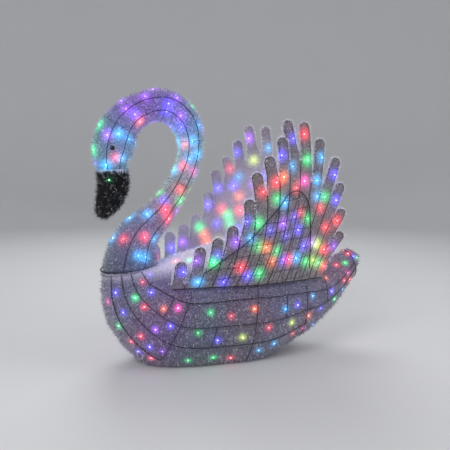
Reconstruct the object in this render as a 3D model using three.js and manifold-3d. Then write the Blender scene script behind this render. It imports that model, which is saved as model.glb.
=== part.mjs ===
// A standing swan display figure: a white cover on a wire frame, with an S-shaped neck,
// a hanging head with a dark beak, two raised wings of round-tipped feathers and an upturned tail.
// Millimetres, +Z up. The head points to -X, the tail to +X, and the swan's left side is -Y.
import * as THREE from 'three';
import { mergeVertices } from 'three/addons/utils/BufferGeometryUtils.js';
import Module from 'manifold-3d';

const wasm = await Module();
wasm.setup();

// Small sizes shared by several pieces
const WIRE_RADIUS = 2;
const WIRE_GAP = 1.3;
const JOINT_GAP = 0.5;

// The joint between neck and body is a tilted circle
const JOINT = { x: -389, z: 336, tilt: THREE.MathUtils.degToRad(7.6), radius: 95 };
// The thick wire ring round the joint: its own radius, how far it stands off the cover, and its height
const JOINT_RING = { radius: 4, lift: 6.7, height: 5 };

// Body: sections from the joint to the tail tip. Each has its top and bottom point in the middle
// plane and its half width. Bottom points below the floor are cut off flat at z = 0.
const jointEnd = (side) => [
  JOINT.x + side * JOINT.radius * Math.cos(JOINT.tilt),
  JOINT.z + side * JOINT.radius * Math.sin(JOINT.tilt),
];
const BODY_SECTIONS = [
  { top: jointEnd(1), bottom: jointEnd(-1), half: JOINT.radius },
  { top: [-263, 350], bottom: [-486, 231], half: 122 },
  { top: [-230, 367], bottom: [-468, 149], half: 142 },
  { top: [-195, 379], bottom: [-419, 67], half: 157 },
  { top: [-175, 384], bottom: [-378, 22], half: 163 },
  { top: [-155, 388], bottom: [-330, -14], half: 168 },
  { top: [-95, 406], bottom: [-220, -48], half: 181 },
  { top: [-40, 416], bottom: [-115, -52], half: 190 },
  { top: [25, 420], bottom: [-15, -52], half: 195 },
  { top: [90, 411], bottom: [65, -40], half: 193 },
  { top: [150, 394], bottom: [135, -8], half: 184 },
  { top: [205, 370], bottom: [205, 30], half: 168 },
  { top: [265, 344], bottom: [270, 62], half: 148 },
  { top: [320, 326], bottom: [330, 105], half: 124 },
  { top: [370, 324], bottom: [385, 151], half: 99 },
  { top: [410, 338], bottom: [430, 198], half: 77 },
  { top: [445, 354], bottom: [474, 248], half: 57 },
  { top: [470, 360], bottom: [498, 296], half: 40 },
  { top: [491, 345], bottom: [505, 315], half: 18 },
];
// Places round a section, in degrees from the top: the frame wires lie on some of them
const SECTION_ANGLES = [0, 20, 42, 61, 76, 97, 116, 139, 160, 180];
const WIRE_PLACES = [
  { place: 4, to: 16 },
  { place: 5, to: 16 },
  { place: 6, to: 11 },
  { place: 7, to: 5 },
];
const RIB_SECTIONS = [5, 8, 11];
const RIB_PLACES = [3.5, 4, 5, 6, 7];
const FRONT_HOOP = { section: 0.15, from: 4, to: 14 };
const TAIL_HOOP_SECTION = 16;

// Neck and head: centre line points in the middle plane with the radius there. A point's section
// is square to the line, apart from one that states its own lean from upright, in degrees.
const NECK_POINTS = [
  { x: -382, z: 368, radius: 92, lean: 1 },
  { x: -370, z: 410, radius: 84 },
  { x: -347, z: 453, radius: 71 },
  { x: -315, z: 487, radius: 62 },
  { x: -280, z: 520, radius: 54 },
  { x: -255, z: 553, radius: 49 },
  { x: -232, z: 583, radius: 47 },
  { x: -210, z: 618, radius: 45 },
  { x: -192, z: 654, radius: 45 },
  { x: -177, z: 692, radius: 44 },
  { x: -169, z: 731, radius: 45 },
  { x: -168, z: 764, radius: 47 },
  { x: -174, z: 797, radius: 51 },
  { x: -189, z: 832, radius: 54 },
  { x: -219, z: 864, radius: 57 },
  { x: -264, z: 884, radius: 57 },
  { x: -306, z: 881, radius: 57 },
  { x: -349, z: 865, radius: 59 },
  { x: -386, z: 838, radius: 62 },
  { x: -411, z: 806, radius: 68 },
  { x: -427, z: 770, radius: 72 },
  { x: -437, z: 733, radius: 70 },
  { x: -442, z: 702, radius: 61 },
  { x: -441, z: 680, radius: 54 },
  { x: -440, z: 667, radius: 50, lean: 180 },
];
const NECK_SIDES = 16;
const NECK_WIRE_PLACES = [3, 5, 11, 13];
const NECK_HOOP_SECTIONS = [4, 8, 12, 16, 20];

// Beak: hangs down from the head, narrowing and bending a little forward
const BEAK_POINTS = [
  { x: -440, z: 665.5, deep: 47, wide: 43 },
  { x: -436, z: 628, deep: 49, wide: 44 },
  { x: -443, z: 590, deep: 45, wide: 40 },
  { x: -457, z: 556, deep: 38, wide: 33 },
  { x: -471, z: 530, deep: 27, wide: 24 },
  { x: -480, z: 512, deep: 13, wide: 12 },
];
const BEAK_SIDES = 14;

// Eyes: low domes on the head's sides, turned to face the same way as the skin there
const EYE = { x: -447, z: 739, radius: 8, depth: 5, turn: 11.25, reach: 70.6, sides: 12, steps: 4 };

// Wings: feathers stand side by side on a level base line. Each has its tip and its bow,
// which is how far its middle leans towards the tail.
const WING_BASE = { front: -290, back: 278, z: 285, spacingPower: 0.85 };
const WING_THICKNESS = 8;
const WING_ROWS = 10;
const FEATHER_WIDTH = 38;
const WING_HULL_GAP = 6;
const WING_FLARE_HEIGHT = 110;
const FEATHERS = [
  { x: -256, z: 381, out: 200, bow: 0 },
  { x: -195, z: 425, out: 205, bow: 3 },
  { x: -138, z: 453, out: 212, bow: 5 },
  { x: -88, z: 490, out: 212, bow: 8 },
  { x: -38, z: 575, out: 222, bow: 22 },
  { x: -12, z: 660, out: 214, bow: 36 },
  { x: 33, z: 712, out: 210, bow: 42 },
  { x: 79, z: 775, out: 211, bow: 38 },
  { x: 112, z: 832, out: 177, bow: 50 },
  { x: 179, z: 828, out: 166, bow: 46 },
  { x: 251, z: 773, out: 150, bow: 30 },
  { x: 320, z: 709, out: 146, bow: 8 },
  { x: 346, z: 620, out: 141, bow: -3 },
  { x: 356, z: 530, out: 143, bow: -12 },
  { x: 355, z: 449, out: 144, bow: -17 },
];
// Where the gap between two neighbouring feathers starts, as a share of their length
const SPLITS = [0.1, 0.4, 0.6, 0.7, 0.7, 0.8, 0.8, 0.8, 0.8, 0.7, 0.7, 0.8, 0.8, 0.7];

// Brace wire on each wing's outer face, seen from the side
const BRACE_POINTS = [
  [-177, 338], [-137, 367], [-95, 397], [-52, 426], [-15, 457], [20, 492], [53, 524], [79, 556],
  [102, 582], [132, 596], [160, 595], [183, 579], [201, 551], [210, 500], [214, 440], [215, 385], [213, 325],
];
const BRACE_LIFT = 7.2;
const BRACE_STEPS = 24;

const MATERIALS = {
  cover: { color: 0xd9d6e4, roughness: 0.85, metalness: 0 },
  wing: { color: 0xdedbe8, roughness: 0.85, metalness: 0 },
  wire: { color: 0x3a3a42, roughness: 0.5, metalness: 0.6 },
  beak: { color: 0x101114, roughness: 0.55, metalness: 0.2 },
  eye: { color: 0x050507, roughness: 0.15, metalness: 0 },
};

// A closed body from points and triangles, turned so that its faces point outwards
function closedBody(points, triangles) {
  let volume = 0;
  for (const [a, b, c] of triangles) {
    volume += points[a].dot(new THREE.Vector3().crossVectors(points[b], points[c]));
  }
  const order = volume < 0 ? ([a, b, c]) => [a, c, b] : (triangle) => triangle;
  const geometry = new THREE.BufferGeometry();
  geometry.setAttribute('position', new THREE.Float32BufferAttribute(points.flatMap((p) => p.toArray()), 3));
  geometry.setIndex(triangles.flatMap(order));
  return geometry;
}

// Two triangles for the four-sided patch a, b, c, d
function patch(a, b, c, d) {
  return [[a, b, c], [a, c, d]];
}

// Joins rings of points into a closed skin. A looped skin has no ends, and other skins get a flat
// fan of triangles over both ends.
function loft(rings, looped = false) {
  const count = rings[0].length;
  const points = rings.flat();
  const triangles = [];
  const last = looped ? rings.length : rings.length - 1;
  for (let row = 0; row < last; row += 1) {
    const next = (row + 1) % rings.length;
    for (let i = 0; i < count; i += 1) {
      const j = (i + 1) % count;
      triangles.push(...patch(row * count + i, row * count + j, next * count + j, next * count + i));
    }
  }
  if (!looped) {
    for (const row of [0, rings.length - 1]) {
      const centre = rings[row].reduce((sum, p) => sum.add(p), new THREE.Vector3()).divideScalar(count);
      const middle = points.push(centre) - 1;
      for (let i = 0; i < count; i += 1) {
        const edge = [row * count + i, row * count + (i + 1) % count];
        triangles.push(row === 0 ? [edge[1], edge[0], middle] : [edge[0], edge[1], middle]);
      }
    }
  }
  return closedBody(points, triangles);
}

// A four-sided wire along a line of points
function wire(path, radius, looped = false) {
  const count = path.length;
  const rings = path.map((point, i) => {
    const before = path[looped ? (i + count - 1) % count : Math.max(i - 1, 0)];
    const after = path[looped ? (i + 1) % count : Math.min(i + 1, count - 1)];
    const along = new THREE.Vector3().subVectors(after, before).normalize();
    const helper = Math.abs(along.y) < 0.8 ? new THREE.Vector3(0, 1, 0) : new THREE.Vector3(0, 0, 1);
    const side = new THREE.Vector3().crossVectors(along, helper).normalize();
    const up = new THREE.Vector3().crossVectors(side, along);
    return [[1, 1], [-1, 1], [-1, -1], [1, -1]].map(([a, b]) => point.clone()
      .addScaledVector(side, a * radius * Math.SQRT1_2)
      .addScaledVector(up, b * radius * Math.SQRT1_2));
  });
  return loft(rings, looped);
}

// Welds several closed bodies into one
function weld(geometries) {
  const solids = geometries.map((geometry) => {
    const merged = mergeVertices(geometry, 1e-4);
    const mesh = new wasm.Mesh({
      numProp: 3,
      vertProperties: new Float32Array(merged.getAttribute('position').array),
      triVerts: new Uint32Array(merged.getIndex().array),
    });
    return new wasm.Manifold(mesh);
  });
  const mesh = solids.reduce((whole, solid) => whole.add(solid)).getMesh();
  const geometry = new THREE.BufferGeometry();
  geometry.setAttribute('position', new THREE.BufferAttribute(mesh.vertProperties, 3));
  geometry.setIndex(new THREE.BufferAttribute(mesh.triVerts, 1));
  return geometry;
}

function mixed(a, b, share) {
  return a + (b - a) * share;
}

// Body sections
function sectionCentreAndAxis(section) {
  const centre = [mixed(section.top[0], section.bottom[0], 0.5), mixed(section.top[1], section.bottom[1], 0.5)];
  return { centre, axis: [section.top[0] - centre[0], section.top[1] - centre[1]] };
}

function sectionPoint(section, degrees) {
  const { centre, axis } = sectionCentreAndAxis(section);
  const angle = THREE.MathUtils.degToRad(degrees);
  return new THREE.Vector3(
    centre[0] + axis[0] * Math.cos(angle),
    section.half * Math.sin(angle),
    Math.max(centre[1] + axis[1] * Math.cos(angle), 0),
  );
}

const bodyRings = BODY_SECTIONS.map((section) => {
  const oneSide = SECTION_ANGLES.map((degrees) => sectionPoint(section, degrees));
  const otherSide = SECTION_ANGLES.slice(1, -1).reverse().map((degrees) => sectionPoint(section, -degrees));
  return [...oneSide, ...otherSide];
});

// A point on the faceted body skin, at a fraction of a section and of a place round it
function skinPoint(row, place) {
  const count = bodyRings[0].length;
  const low = Math.min(Math.floor(row), bodyRings.length - 2);
  const first = Math.floor(place);
  const corner = (r, i) => bodyRings[r][((i % count) + count) % count];
  const onRing = (r) => corner(r, first).clone().lerp(corner(r, first + 1), place - first);
  return onRing(low).lerp(onRing(low + 1), row - low);
}

function skinNormal(row, place) {
  const step = 0.5;
  const rowBack = Math.max(row - step, 0);
  const rowOn = Math.min(row + step, bodyRings.length - 1);
  const along = skinPoint(rowOn, place).sub(skinPoint(rowBack, place));
  const round = skinPoint(row, place + step).sub(skinPoint(row, place - step));
  return new THREE.Vector3().crossVectors(along, round).normalize();
}

function wirePoint(row, place) {
  const outward = skinNormal(row, place);
  return skinPoint(row, place).addScaledVector(outward, WIRE_RADIUS + WIRE_GAP);
}

// Half width of the body at a point seen from the side
function bodyHalfWidth(x, z) {
  for (let i = 0; i < BODY_SECTIONS.length - 1; i += 1) {
    const sideOf = (section) => {
      const dx = section.bottom[0] - section.top[0];
      const dz = section.bottom[1] - section.top[1];
      return dx * (z - section.top[1]) - dz * (x - section.top[0]);
    };
    const near = sideOf(BODY_SECTIONS[i]);
    const far = sideOf(BODY_SECTIONS[i + 1]);
    if (near * far <= 0) {
      const share = near / (near - far);
      const top = [0, 1].map((n) => mixed(BODY_SECTIONS[i].top[n], BODY_SECTIONS[i + 1].top[n], share));
      const bottom = [0, 1].map((n) => mixed(BODY_SECTIONS[i].bottom[n], BODY_SECTIONS[i + 1].bottom[n], share));
      const half = mixed(BODY_SECTIONS[i].half, BODY_SECTIONS[i + 1].half, share);
      const down = (top[1] - z) / (top[1] - bottom[1]);
      return half * Math.sqrt(Math.max(1 - (1 - 2 * down) ** 2, 0));
    }
  }
  return 0;
}

function bodyFrame() {
  const wires = [];
  for (const side of [1, -1]) {
    for (const { place, to } of WIRE_PLACES) {
      const rows = [FRONT_HOOP.section];
      for (let row = 1; row <= to; row += 1) rows.push(row);
      wires.push(wire(rows.map((row) => wirePoint(row, side * place)), WIRE_RADIUS));
    }
    for (const row of RIB_SECTIONS) {
      wires.push(wire(RIB_PLACES.map((place) => wirePoint(row, side * place)), WIRE_RADIUS));
    }
  }
  const frontHoop = [];
  for (let place = FRONT_HOOP.from; place <= FRONT_HOOP.to; place += 1) {
    frontHoop.push(wirePoint(FRONT_HOOP.section, place));
  }
  wires.push(wire(frontHoop, WIRE_RADIUS));
  const tailHoop = bodyRings[TAIL_HOOP_SECTION].map((point, place) => wirePoint(TAIL_HOOP_SECTION, place));
  wires.push(wire(tailHoop, WIRE_RADIUS, true));
  return weld(wires);
}

// Neck and head sections: circles square to the centre line, and the first one lies on the joint
const jointUp = new THREE.Vector3(-Math.sin(JOINT.tilt), 0, Math.cos(JOINT.tilt));
const jointCentre = new THREE.Vector3(JOINT.x, 0, JOINT.z);
const neckSections = [
  { centre: jointCentre.clone().addScaledVector(jointUp, JOINT_GAP), along: jointUp, radius: JOINT.radius },
  ...NECK_POINTS.map((point, i) => {
    const before = NECK_POINTS[Math.max(i - 1, 0)];
    const after = NECK_POINTS[Math.min(i + 1, NECK_POINTS.length - 1)];
    const slope = Math.atan2(after.x - before.x, after.z - before.z);
    const lean = point.lean === undefined ? slope : THREE.MathUtils.degToRad(point.lean);
    return {
      centre: new THREE.Vector3(point.x, 0, point.z),
      along: new THREE.Vector3(Math.sin(lean), 0, Math.cos(lean)),
      radius: point.radius,
    };
  }),
];

function neckPoint(section, place, lift = 0) {
  const across = new THREE.Vector3(0, 1, 0);
  const outer = new THREE.Vector3().crossVectors(across, section.along);
  const angle = (place / NECK_SIDES) * 2 * Math.PI;
  return section.centre.clone()
    .addScaledVector(outer, (section.radius + lift) * Math.cos(angle))
    .addScaledVector(across, (section.radius + lift) * Math.sin(angle));
}

function neckRing(section, lift = 0) {
  return Array.from({ length: NECK_SIDES }, (_, place) => neckPoint(section, place, lift));
}

function neckFrame() {
  const lift = WIRE_RADIUS + WIRE_GAP;
  const start = { ...neckSections[0], centre: jointCentre.clone().addScaledVector(jointUp, JOINT_RING.height) };
  const sections = [start, ...neckSections.slice(1)];
  const wires = NECK_WIRE_PLACES.map((place) => (
    wire(sections.map((section) => neckPoint(section, place, lift)), WIRE_RADIUS)));
  for (const index of NECK_HOOP_SECTIONS) {
    wires.push(wire(neckRing(sections[index], lift), WIRE_RADIUS, true));
  }
  wires.push(wire(neckRing(start, JOINT_RING.lift), JOINT_RING.radius, true));
  return weld(wires);
}

function beak() {
  const rings = BEAK_POINTS.map((point, i) => {
    const before = BEAK_POINTS[Math.max(i - 1, 0)];
    const after = BEAK_POINTS[Math.min(i + 1, BEAK_POINTS.length - 1)];
    const level = i === 0;
    const along = new THREE.Vector3(level ? 0 : after.x - before.x, 0, after.z - before.z).normalize();
    const outer = new THREE.Vector3(along.z, 0, -along.x);
    return Array.from({ length: BEAK_SIDES }, (_, place) => {
      const angle = (place / BEAK_SIDES) * 2 * Math.PI;
      return new THREE.Vector3(point.x, point.wide * Math.sin(angle), point.z)
        .addScaledVector(outer, point.deep * Math.cos(angle));
    });
  });
  return loft(rings);
}

function eyeDome() {
  const profile = [new THREE.Vector2(0, 0)];
  for (let i = 0; i <= EYE.steps; i += 1) {
    const angle = (i / EYE.steps) * (Math.PI / 2);
    const radius = i === EYE.steps ? 0 : EYE.radius * Math.cos(angle);
    profile.push(new THREE.Vector2(radius, EYE.depth * Math.sin(angle)));
  }
  const geometry = new THREE.LatheGeometry(profile, EYE.sides);
  geometry.deleteAttribute('normal');
  geometry.deleteAttribute('uv');
  return mergeVertices(geometry, 1e-4);
}

// Wings
function wingBaseX(edge) {
  const share = (edge / FEATHERS.length) ** WING_BASE.spacingPower;
  return mixed(WING_BASE.front, WING_BASE.back, share);
}

// A point on a feather's centre line: t runs from 0 at the base line to 1 at the tip
function featherPoint(index, t) {
  const tip = FEATHERS[index];
  const baseX = (wingBaseX(index) + wingBaseX(index + 1)) / 2;
  const baseOut = bodyHalfWidth(baseX, WING_BASE.z) + WING_HULL_GAP;
  const rise = (tip.z - WING_BASE.z) * t;
  const flare = (height) => 1 - Math.exp(-height / WING_FLARE_HEIGHT);
  const share = flare(rise) / flare(tip.z - WING_BASE.z);
  const x = mixed(baseX, tip.x, t) + 4 * t * (1 - t) * tip.bow;
  return new THREE.Vector3(x, mixed(baseOut, tip.out, share), WING_BASE.z + rise);
}

// The direction across a feather at t, seen from the side
function featherAcross(index, t) {
  const step = 0.02;
  const along = featherPoint(index, Math.min(t + step, 1)).sub(featherPoint(index, Math.max(t - step, 0)));
  along.y = 0;
  along.normalize();
  return new THREE.Vector3(along.z, 0, -along.x);
}

// The mid surface of the wing on the +Y side, as points and triangles
function wingSheet() {
  const points = [];
  const triangles = [];
  const add = (point) => points.push(point) - 1;
  const roundShare = (index) => 1 - FEATHER_WIDTH / 2 / (FEATHERS[index].z - WING_BASE.z);
  const rowT = (index, row) => (row / WING_ROWS) * roundShare(index);
  const edgePoint = (index, row, side) => featherPoint(index, rowT(index, row))
    .addScaledVector(featherAcross(index, rowT(index, row)), side * FEATHER_WIDTH / 2);
  let shared = null;
  FEATHERS.forEach((feather, index) => {
    const left = [];
    const right = [];
    const splitRow = Math.round((SPLITS[index] ?? 0) * WING_ROWS);
    for (let row = 0; row <= WING_ROWS; row += 1) {
      left.push(shared?.[row] ?? add(edgePoint(index, row, -1)));
      const next = FEATHERS[index + 1];
      if (next && row <= splitRow) {
        const middle = featherPoint(index, rowT(index, row)).lerp(featherPoint(index + 1, rowT(index + 1, row)), 0.5);
        right.push(add(middle));
      } else {
        right.push(add(edgePoint(index, row, 1)));
      }
    }
    shared = right.map((corner, row) => (FEATHERS[index + 1] && row <= splitRow ? corner : undefined));
    for (let row = 0; row < WING_ROWS; row += 1) {
      triangles.push(...patch(left[row], right[row], right[row + 1], left[row + 1]));
    }
    const centre = featherPoint(index, roundShare(index));
    const across = featherAcross(index, roundShare(index));
    const up = new THREE.Vector3(-across.z, 0, across.x);
    let previous = right[WING_ROWS];
    for (const degrees of [45, 90, 135]) {
      const angle = THREE.MathUtils.degToRad(degrees);
      const corner = add(centre.clone()
        .addScaledVector(across, Math.cos(angle) * FEATHER_WIDTH / 2)
        .addScaledVector(up, Math.sin(angle) * FEATHER_WIDTH / 2));
      triangles.push([left[WING_ROWS], previous, corner]);
      previous = corner;
    }
  });
  return { points, triangles };
}

// Gives the sheet its thickness: an outer and an inner skin, and a rim along the open edges
function thickened({ points, triangles }) {
  const normals = points.map(() => new THREE.Vector3());
  for (const [a, b, c] of triangles) {
    const normal = new THREE.Vector3().subVectors(points[b], points[a])
      .cross(new THREE.Vector3().subVectors(points[c], points[a])).normalize();
    for (const corner of [a, b, c]) normals[corner].add(normal);
  }
  const count = points.length;
  const shifted = (side) => points.map((point, i) => (
    point.clone().addScaledVector(normals[i].clone().normalize(), side * WING_THICKNESS / 2)));
  const edges = new Set(triangles.flatMap(([a, b, c]) => [`${a},${b}`, `${b},${c}`, `${c},${a}`]));
  const rim = [];
  for (const edge of edges) {
    const [a, b] = edge.split(',').map(Number);
    if (!edges.has(`${b},${a}`)) rim.push(...patch(a, b, b + count, a + count));
  }
  const outer = triangles.map(([a, b, c]) => [a, c, b]);
  const inner = triangles.map((triangle) => triangle.map((corner) => corner + count));
  return closedBody([...shifted(1), ...shifted(-1)], [...outer, ...inner, ...rim]);
}

// How far out the sheet lies at a point seen from the side
function sheetOut({ points, triangles }, x, z) {
  for (const triangle of triangles) {
    const [a, b, c] = triangle.map((corner) => points[corner]);
    const area = (b.x - a.x) * (c.z - a.z) - (c.x - a.x) * (b.z - a.z);
    const shareB = ((x - a.x) * (c.z - a.z) - (c.x - a.x) * (z - a.z)) / area;
    const shareC = ((b.x - a.x) * (z - a.z) - (x - a.x) * (b.z - a.z)) / area;
    if (shareB >= 0 && shareC >= 0 && shareB + shareC <= 1) {
      return a.y + (b.y - a.y) * shareB + (c.y - a.y) * shareC;
    }
  }
  throw new Error(`the brace leaves the wing at ${x}, ${z}`);
}

function braceWire(sheet) {
  const curve = new THREE.CatmullRomCurve3(BRACE_POINTS.map(([x, z]) => new THREE.Vector3(x, 0, z)));
  const path = curve.getSpacedPoints(BRACE_STEPS).map((point) => (
    new THREE.Vector3(point.x, sheetOut(sheet, point.x, point.z) + BRACE_LIFT, point.z)));
  return wire(path, WIRE_RADIUS);
}

// The same body on the other side of the middle plane
function mirrored(geometry) {
  const copy = geometry.clone();
  copy.scale(1, -1, 1);
  const index = copy.getIndex();
  for (let i = 0; i < index.count; i += 3) {
    const second = index.getX(i + 1);
    index.setX(i + 1, index.getX(i + 2));
    index.setX(i + 2, second);
  }
  return copy;
}

// Scene graph
const swan = new THREE.Group();

function addMesh(name, geometry, look) {
  const mesh = new THREE.Mesh(geometry, new THREE.MeshStandardMaterial(MATERIALS[look]));
  mesh.name = name;
  swan.add(mesh);
  return mesh;
}

addMesh('body_cover', loft(bodyRings), 'cover');
addMesh('body_frame', bodyFrame(), 'wire');
addMesh('neck_cover', loft(neckSections.map((section) => neckRing(section))), 'cover');
addMesh('neck_frame', neckFrame(), 'wire');
addMesh('beak', beak(), 'beak');

for (const [name, side] of [['eye_left', -1], ['eye_right', 1]]) {
  const eye = addMesh(name, eyeDome(), 'eye');
  const turn = THREE.MathUtils.degToRad(EYE.turn);
  eye.rotation.z = side > 0 ? turn : Math.PI - turn;
  eye.position.set(EYE.x, side * EYE.reach, EYE.z);
}

const sheet = wingSheet();
const wing = thickened(sheet);
const brace = braceWire(sheet);
addMesh('wing_left', mirrored(wing), 'wing');
addMesh('wing_right', wing, 'wing');
addMesh('wing_brace_left', mirrored(brace), 'wire');
addMesh('wing_brace_right', brace, 'wire');

export default swan;
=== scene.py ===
"""A standing swan display figure: a fuzzy white cover on a wire frame, dotted with small coloured
lights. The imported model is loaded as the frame, and each operator dresses one group of pieces.
Tables and surface functions are in millimetres, and meshes are in metres."""

import math

import bpy
import numpy as np
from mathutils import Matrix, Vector, noise
from mathutils.bvhtree import BVHTree


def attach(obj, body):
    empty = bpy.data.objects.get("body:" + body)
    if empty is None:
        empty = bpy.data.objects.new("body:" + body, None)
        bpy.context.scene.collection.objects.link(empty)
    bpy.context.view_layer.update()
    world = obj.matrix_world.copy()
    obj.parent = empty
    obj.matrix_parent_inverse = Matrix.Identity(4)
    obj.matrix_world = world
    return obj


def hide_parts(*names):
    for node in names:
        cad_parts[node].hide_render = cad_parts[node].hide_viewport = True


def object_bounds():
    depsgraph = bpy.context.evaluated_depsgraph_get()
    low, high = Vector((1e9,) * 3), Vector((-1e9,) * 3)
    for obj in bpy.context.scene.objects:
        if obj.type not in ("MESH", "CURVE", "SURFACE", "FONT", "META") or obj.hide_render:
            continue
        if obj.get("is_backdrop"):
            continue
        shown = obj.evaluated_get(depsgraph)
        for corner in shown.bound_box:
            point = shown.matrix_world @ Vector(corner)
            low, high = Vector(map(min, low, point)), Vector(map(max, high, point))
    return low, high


bl_info = {
    "name": "Swan display figure",
    "version": (1, 0, 0),
    "blender": (4, 5, 0),
    "location": "3D View > Sidebar > Swan",
    "description": "Dresses the swan figure with its cover, wires, feathers, beak and lights",
    "category": "Object",
}

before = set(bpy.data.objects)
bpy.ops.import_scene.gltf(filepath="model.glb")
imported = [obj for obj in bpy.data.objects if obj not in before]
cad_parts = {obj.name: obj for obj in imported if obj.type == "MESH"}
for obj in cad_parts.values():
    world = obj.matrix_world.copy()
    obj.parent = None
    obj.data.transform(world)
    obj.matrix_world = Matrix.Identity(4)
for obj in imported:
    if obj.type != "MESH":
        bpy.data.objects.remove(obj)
CAD_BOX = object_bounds()

BODY = "root"
MM = 0.001
SIDES = {"left": -1, "right": 1}

# The joint between neck and body is a tilted circle
JOINT_X = -389
JOINT_Z = 336
JOINT_TILT = math.radians(7.6)
JOINT_RADIUS = 95
JOINT_RUN = JOINT_RADIUS * math.cos(JOINT_TILT)
JOINT_RISE = JOINT_RADIUS * math.sin(JOINT_TILT)

# Body sections from the joint to the tail: x and z of the top, x and z of the bottom, half width
BODY_SECTIONS = [
    (JOINT_X + JOINT_RUN, JOINT_Z + JOINT_RISE, JOINT_X - JOINT_RUN, JOINT_Z - JOINT_RISE, JOINT_RADIUS),
    (-263, 350, -486, 231, 122),
    (-230, 367, -468, 149, 142),
    (-195, 379, -419, 67, 157),
    (-175, 384, -378, 22, 163),
    (-155, 388, -330, -14, 168),
    (-95, 406, -220, -48, 181),
    (-40, 416, -115, -52, 190),
    (25, 420, -15, -52, 195),
    (90, 411, 65, -40, 193),
    (150, 394, 135, -8, 184),
    (205, 370, 205, 30, 168),
    (265, 344, 270, 62, 148),
    (320, 326, 330, 105, 124),
    (370, 324, 385, 151, 99),
    (410, 338, 430, 198, 77),
    (445, 354, 474, 248, 57),
    (470, 360, 498, 296, 40),
    (491, 345, 505, 315, 18),
]
# The twine's skin lies this far inside the outline, which its loose ends fill out
BODY_INSET = 5
NECK_INSET = 6
BODY_ROWS = 200
BODY_COLUMNS = 216

# Lengthwise wires lie at these angles from the top, from the front hoop to a section row
BODY_WIRES = [(76, 16), (97, 16), (116, 11), (139, 5)]
# Ribs: section row, and the angles where each starts and ends
BODY_RIBS = [
    (5, 68, 139), (8, 68, 139), (11, 68, 139), (3.4, 76, 97), (6.4, 97, 116), (9.6, 76, 97),
    (12.6, 62, 97),
]
# The hoop round the front of the joint: its section row, and the angle where it starts on each side
FRONT_HOOP = (0.06, 76)
TAIL_HOOP_ROW = 16
# The cover's rounded end at the tail: its height, the steps in degrees, and the row of points
# that gives its direction
TAIL_CAP = {"height": 9, "angles": (25, 50, 72), "from": 12}
# How thick the wires are, as shares of the frame wire's thickness
THICKNESS = {"rib": 0.9, "front hoop": 0.5, "neck wire": 0.9, "neck hoop": 0.4, "brace": 1.15}

# In metres: where the pale deck, painted light of the bulbs inside the wings on the body's top, ends
# and over what run it fades, at the sides, behind and below
DECK_SIDES = (0.135, 0.06)
DECK_BACK = (0.28, 0.1)
DECK_BOTTOM = (0.3, -0.04)
# No tufts stand lower than this on the body and on a wing, or closer than this to an eye
FLOOR_BARE = 0.006
WING_BARE = 0.3
EYE_BARE = 0.019

# Neck and head: x and z of the centre line and the radius there, from above the joint to the face
NECK_POINTS = [
    (-382, 368, 92), (-370, 410, 84), (-347, 453, 71), (-315, 487, 62), (-280, 520, 54), (-255, 553, 49),
    (-232, 583, 47), (-210, 618, 45), (-192, 654, 45), (-177, 692, 44), (-169, 731, 45), (-168, 764, 47),
    (-174, 797, 51), (-189, 832, 54), (-219, 864, 57), (-264, 884, 57), (-306, 881, 57), (-349, 865, 59),
    (-386, 838, 62), (-411, 806, 68), (-427, 770, 72), (-437, 733, 70), (-442, 702, 61), (-441, 680, 54),
    (-440, 667, 50),
]
NECK_FIRST_LEAN = math.radians(1)
NECK_LAST_LEAN = math.radians(-180)
NECK_GAP = 0.5
NECK_ROWS = 240
NECK_COLUMNS = 72
NECK_WIRE_ANGLES = [67.5, 112.5, 247.5, 292.5]
NECK_HOOP_ROWS = [4, 8, 12, 16, 20]
NECK_WIRE_LIFT = -1
# The ring round the joint: its height over the joint and off the skin, its radius in front, its
# share of that behind, how far tufts keep from it and up to where behind, and the height of a row
JOINT_RING = {"height": 5, "lift": 2.0, "radius": 2.8, "thin": 0.4, "clear": 5, "behind": 9, "row": 32}
# The head's rim over the beak: where it lies in metres, and how many times as many tufts it has
BEAK_RIM = {"back": -0.35, "low": 0.6, "high": 0.69, "gain": 2.5}
# The fringe under the head: how far inside the outline it starts and ends, and how high it hangs
HEAD_FRINGE = {"inner": 6, "outer": -2, "height": 3}

# Beak: x and z of the centre line, and the half depth and half width there
BEAK_POINTS = [
    (-440, 665.5, 47, 43), (-436, 628, 49, 44), (-443, 590, 45, 40), (-457, 556, 38, 33),
    (-471, 530, 27, 24), (-480, 512, 13, 12),
]
BEAK_LIGHT = {"row": 0.75, "angle": 291, "lift": 8, "spot": 0.8}
# The beak's light is the last one made, and no other shows on the beak
BEAK_ONLY = slice(-1, None)
BEAK_ROWS = 48
BEAK_COLUMNS = 40

# How much the beak and the wings bulge, as shares of the body's lumps, and the height and size of
# the finer lumps between them
BEAK_LUMPS = 1.4
WING_LUMPS = 0.35
FINE_LUMPS = (0.6, 0.42)
# In metres: what lies lower than this rests on the floor, and loose strands keep this far off it
FLOOR_FLAT = 0.002
STRAND_CLEARANCE = 0.0004

EYE = {
    "x": -447, "z": 739, "reach": 70.6, "turn": math.radians(11.25), "radius": 8, "depth": 5.5, "root": 1.5,
}

# Wings: feathers stand on a level base line. Each has its tip's x and z, how far out the tip
# stands from the middle plane, and how far its middle bows towards the tail.
WING_FRONT = -290
WING_BACK = 278
WING_Z = 285
WING_SPACING_POWER = 0.85
WING_THICKNESS = 8
WING_HULL_GAP = 6
WING_FLARE_HEIGHT = 110
FEATHER_WIDTH = 38
FEATHERS = [
    (-256, 381, 200, 0), (-195, 425, 205, 3), (-138, 453, 212, 5), (-88, 490, 212, 8),
    (-38, 575, 222, 22), (-12, 660, 214, 36), (33, 712, 210, 42), (79, 775, 211, 38),
    (112, 832, 177, 50), (179, 828, 166, 46), (251, 773, 150, 30), (320, 709, 146, 8),
    (346, 620, 141, -3), (356, 530, 143, -12), (355, 449, 144, -17),
]
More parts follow.
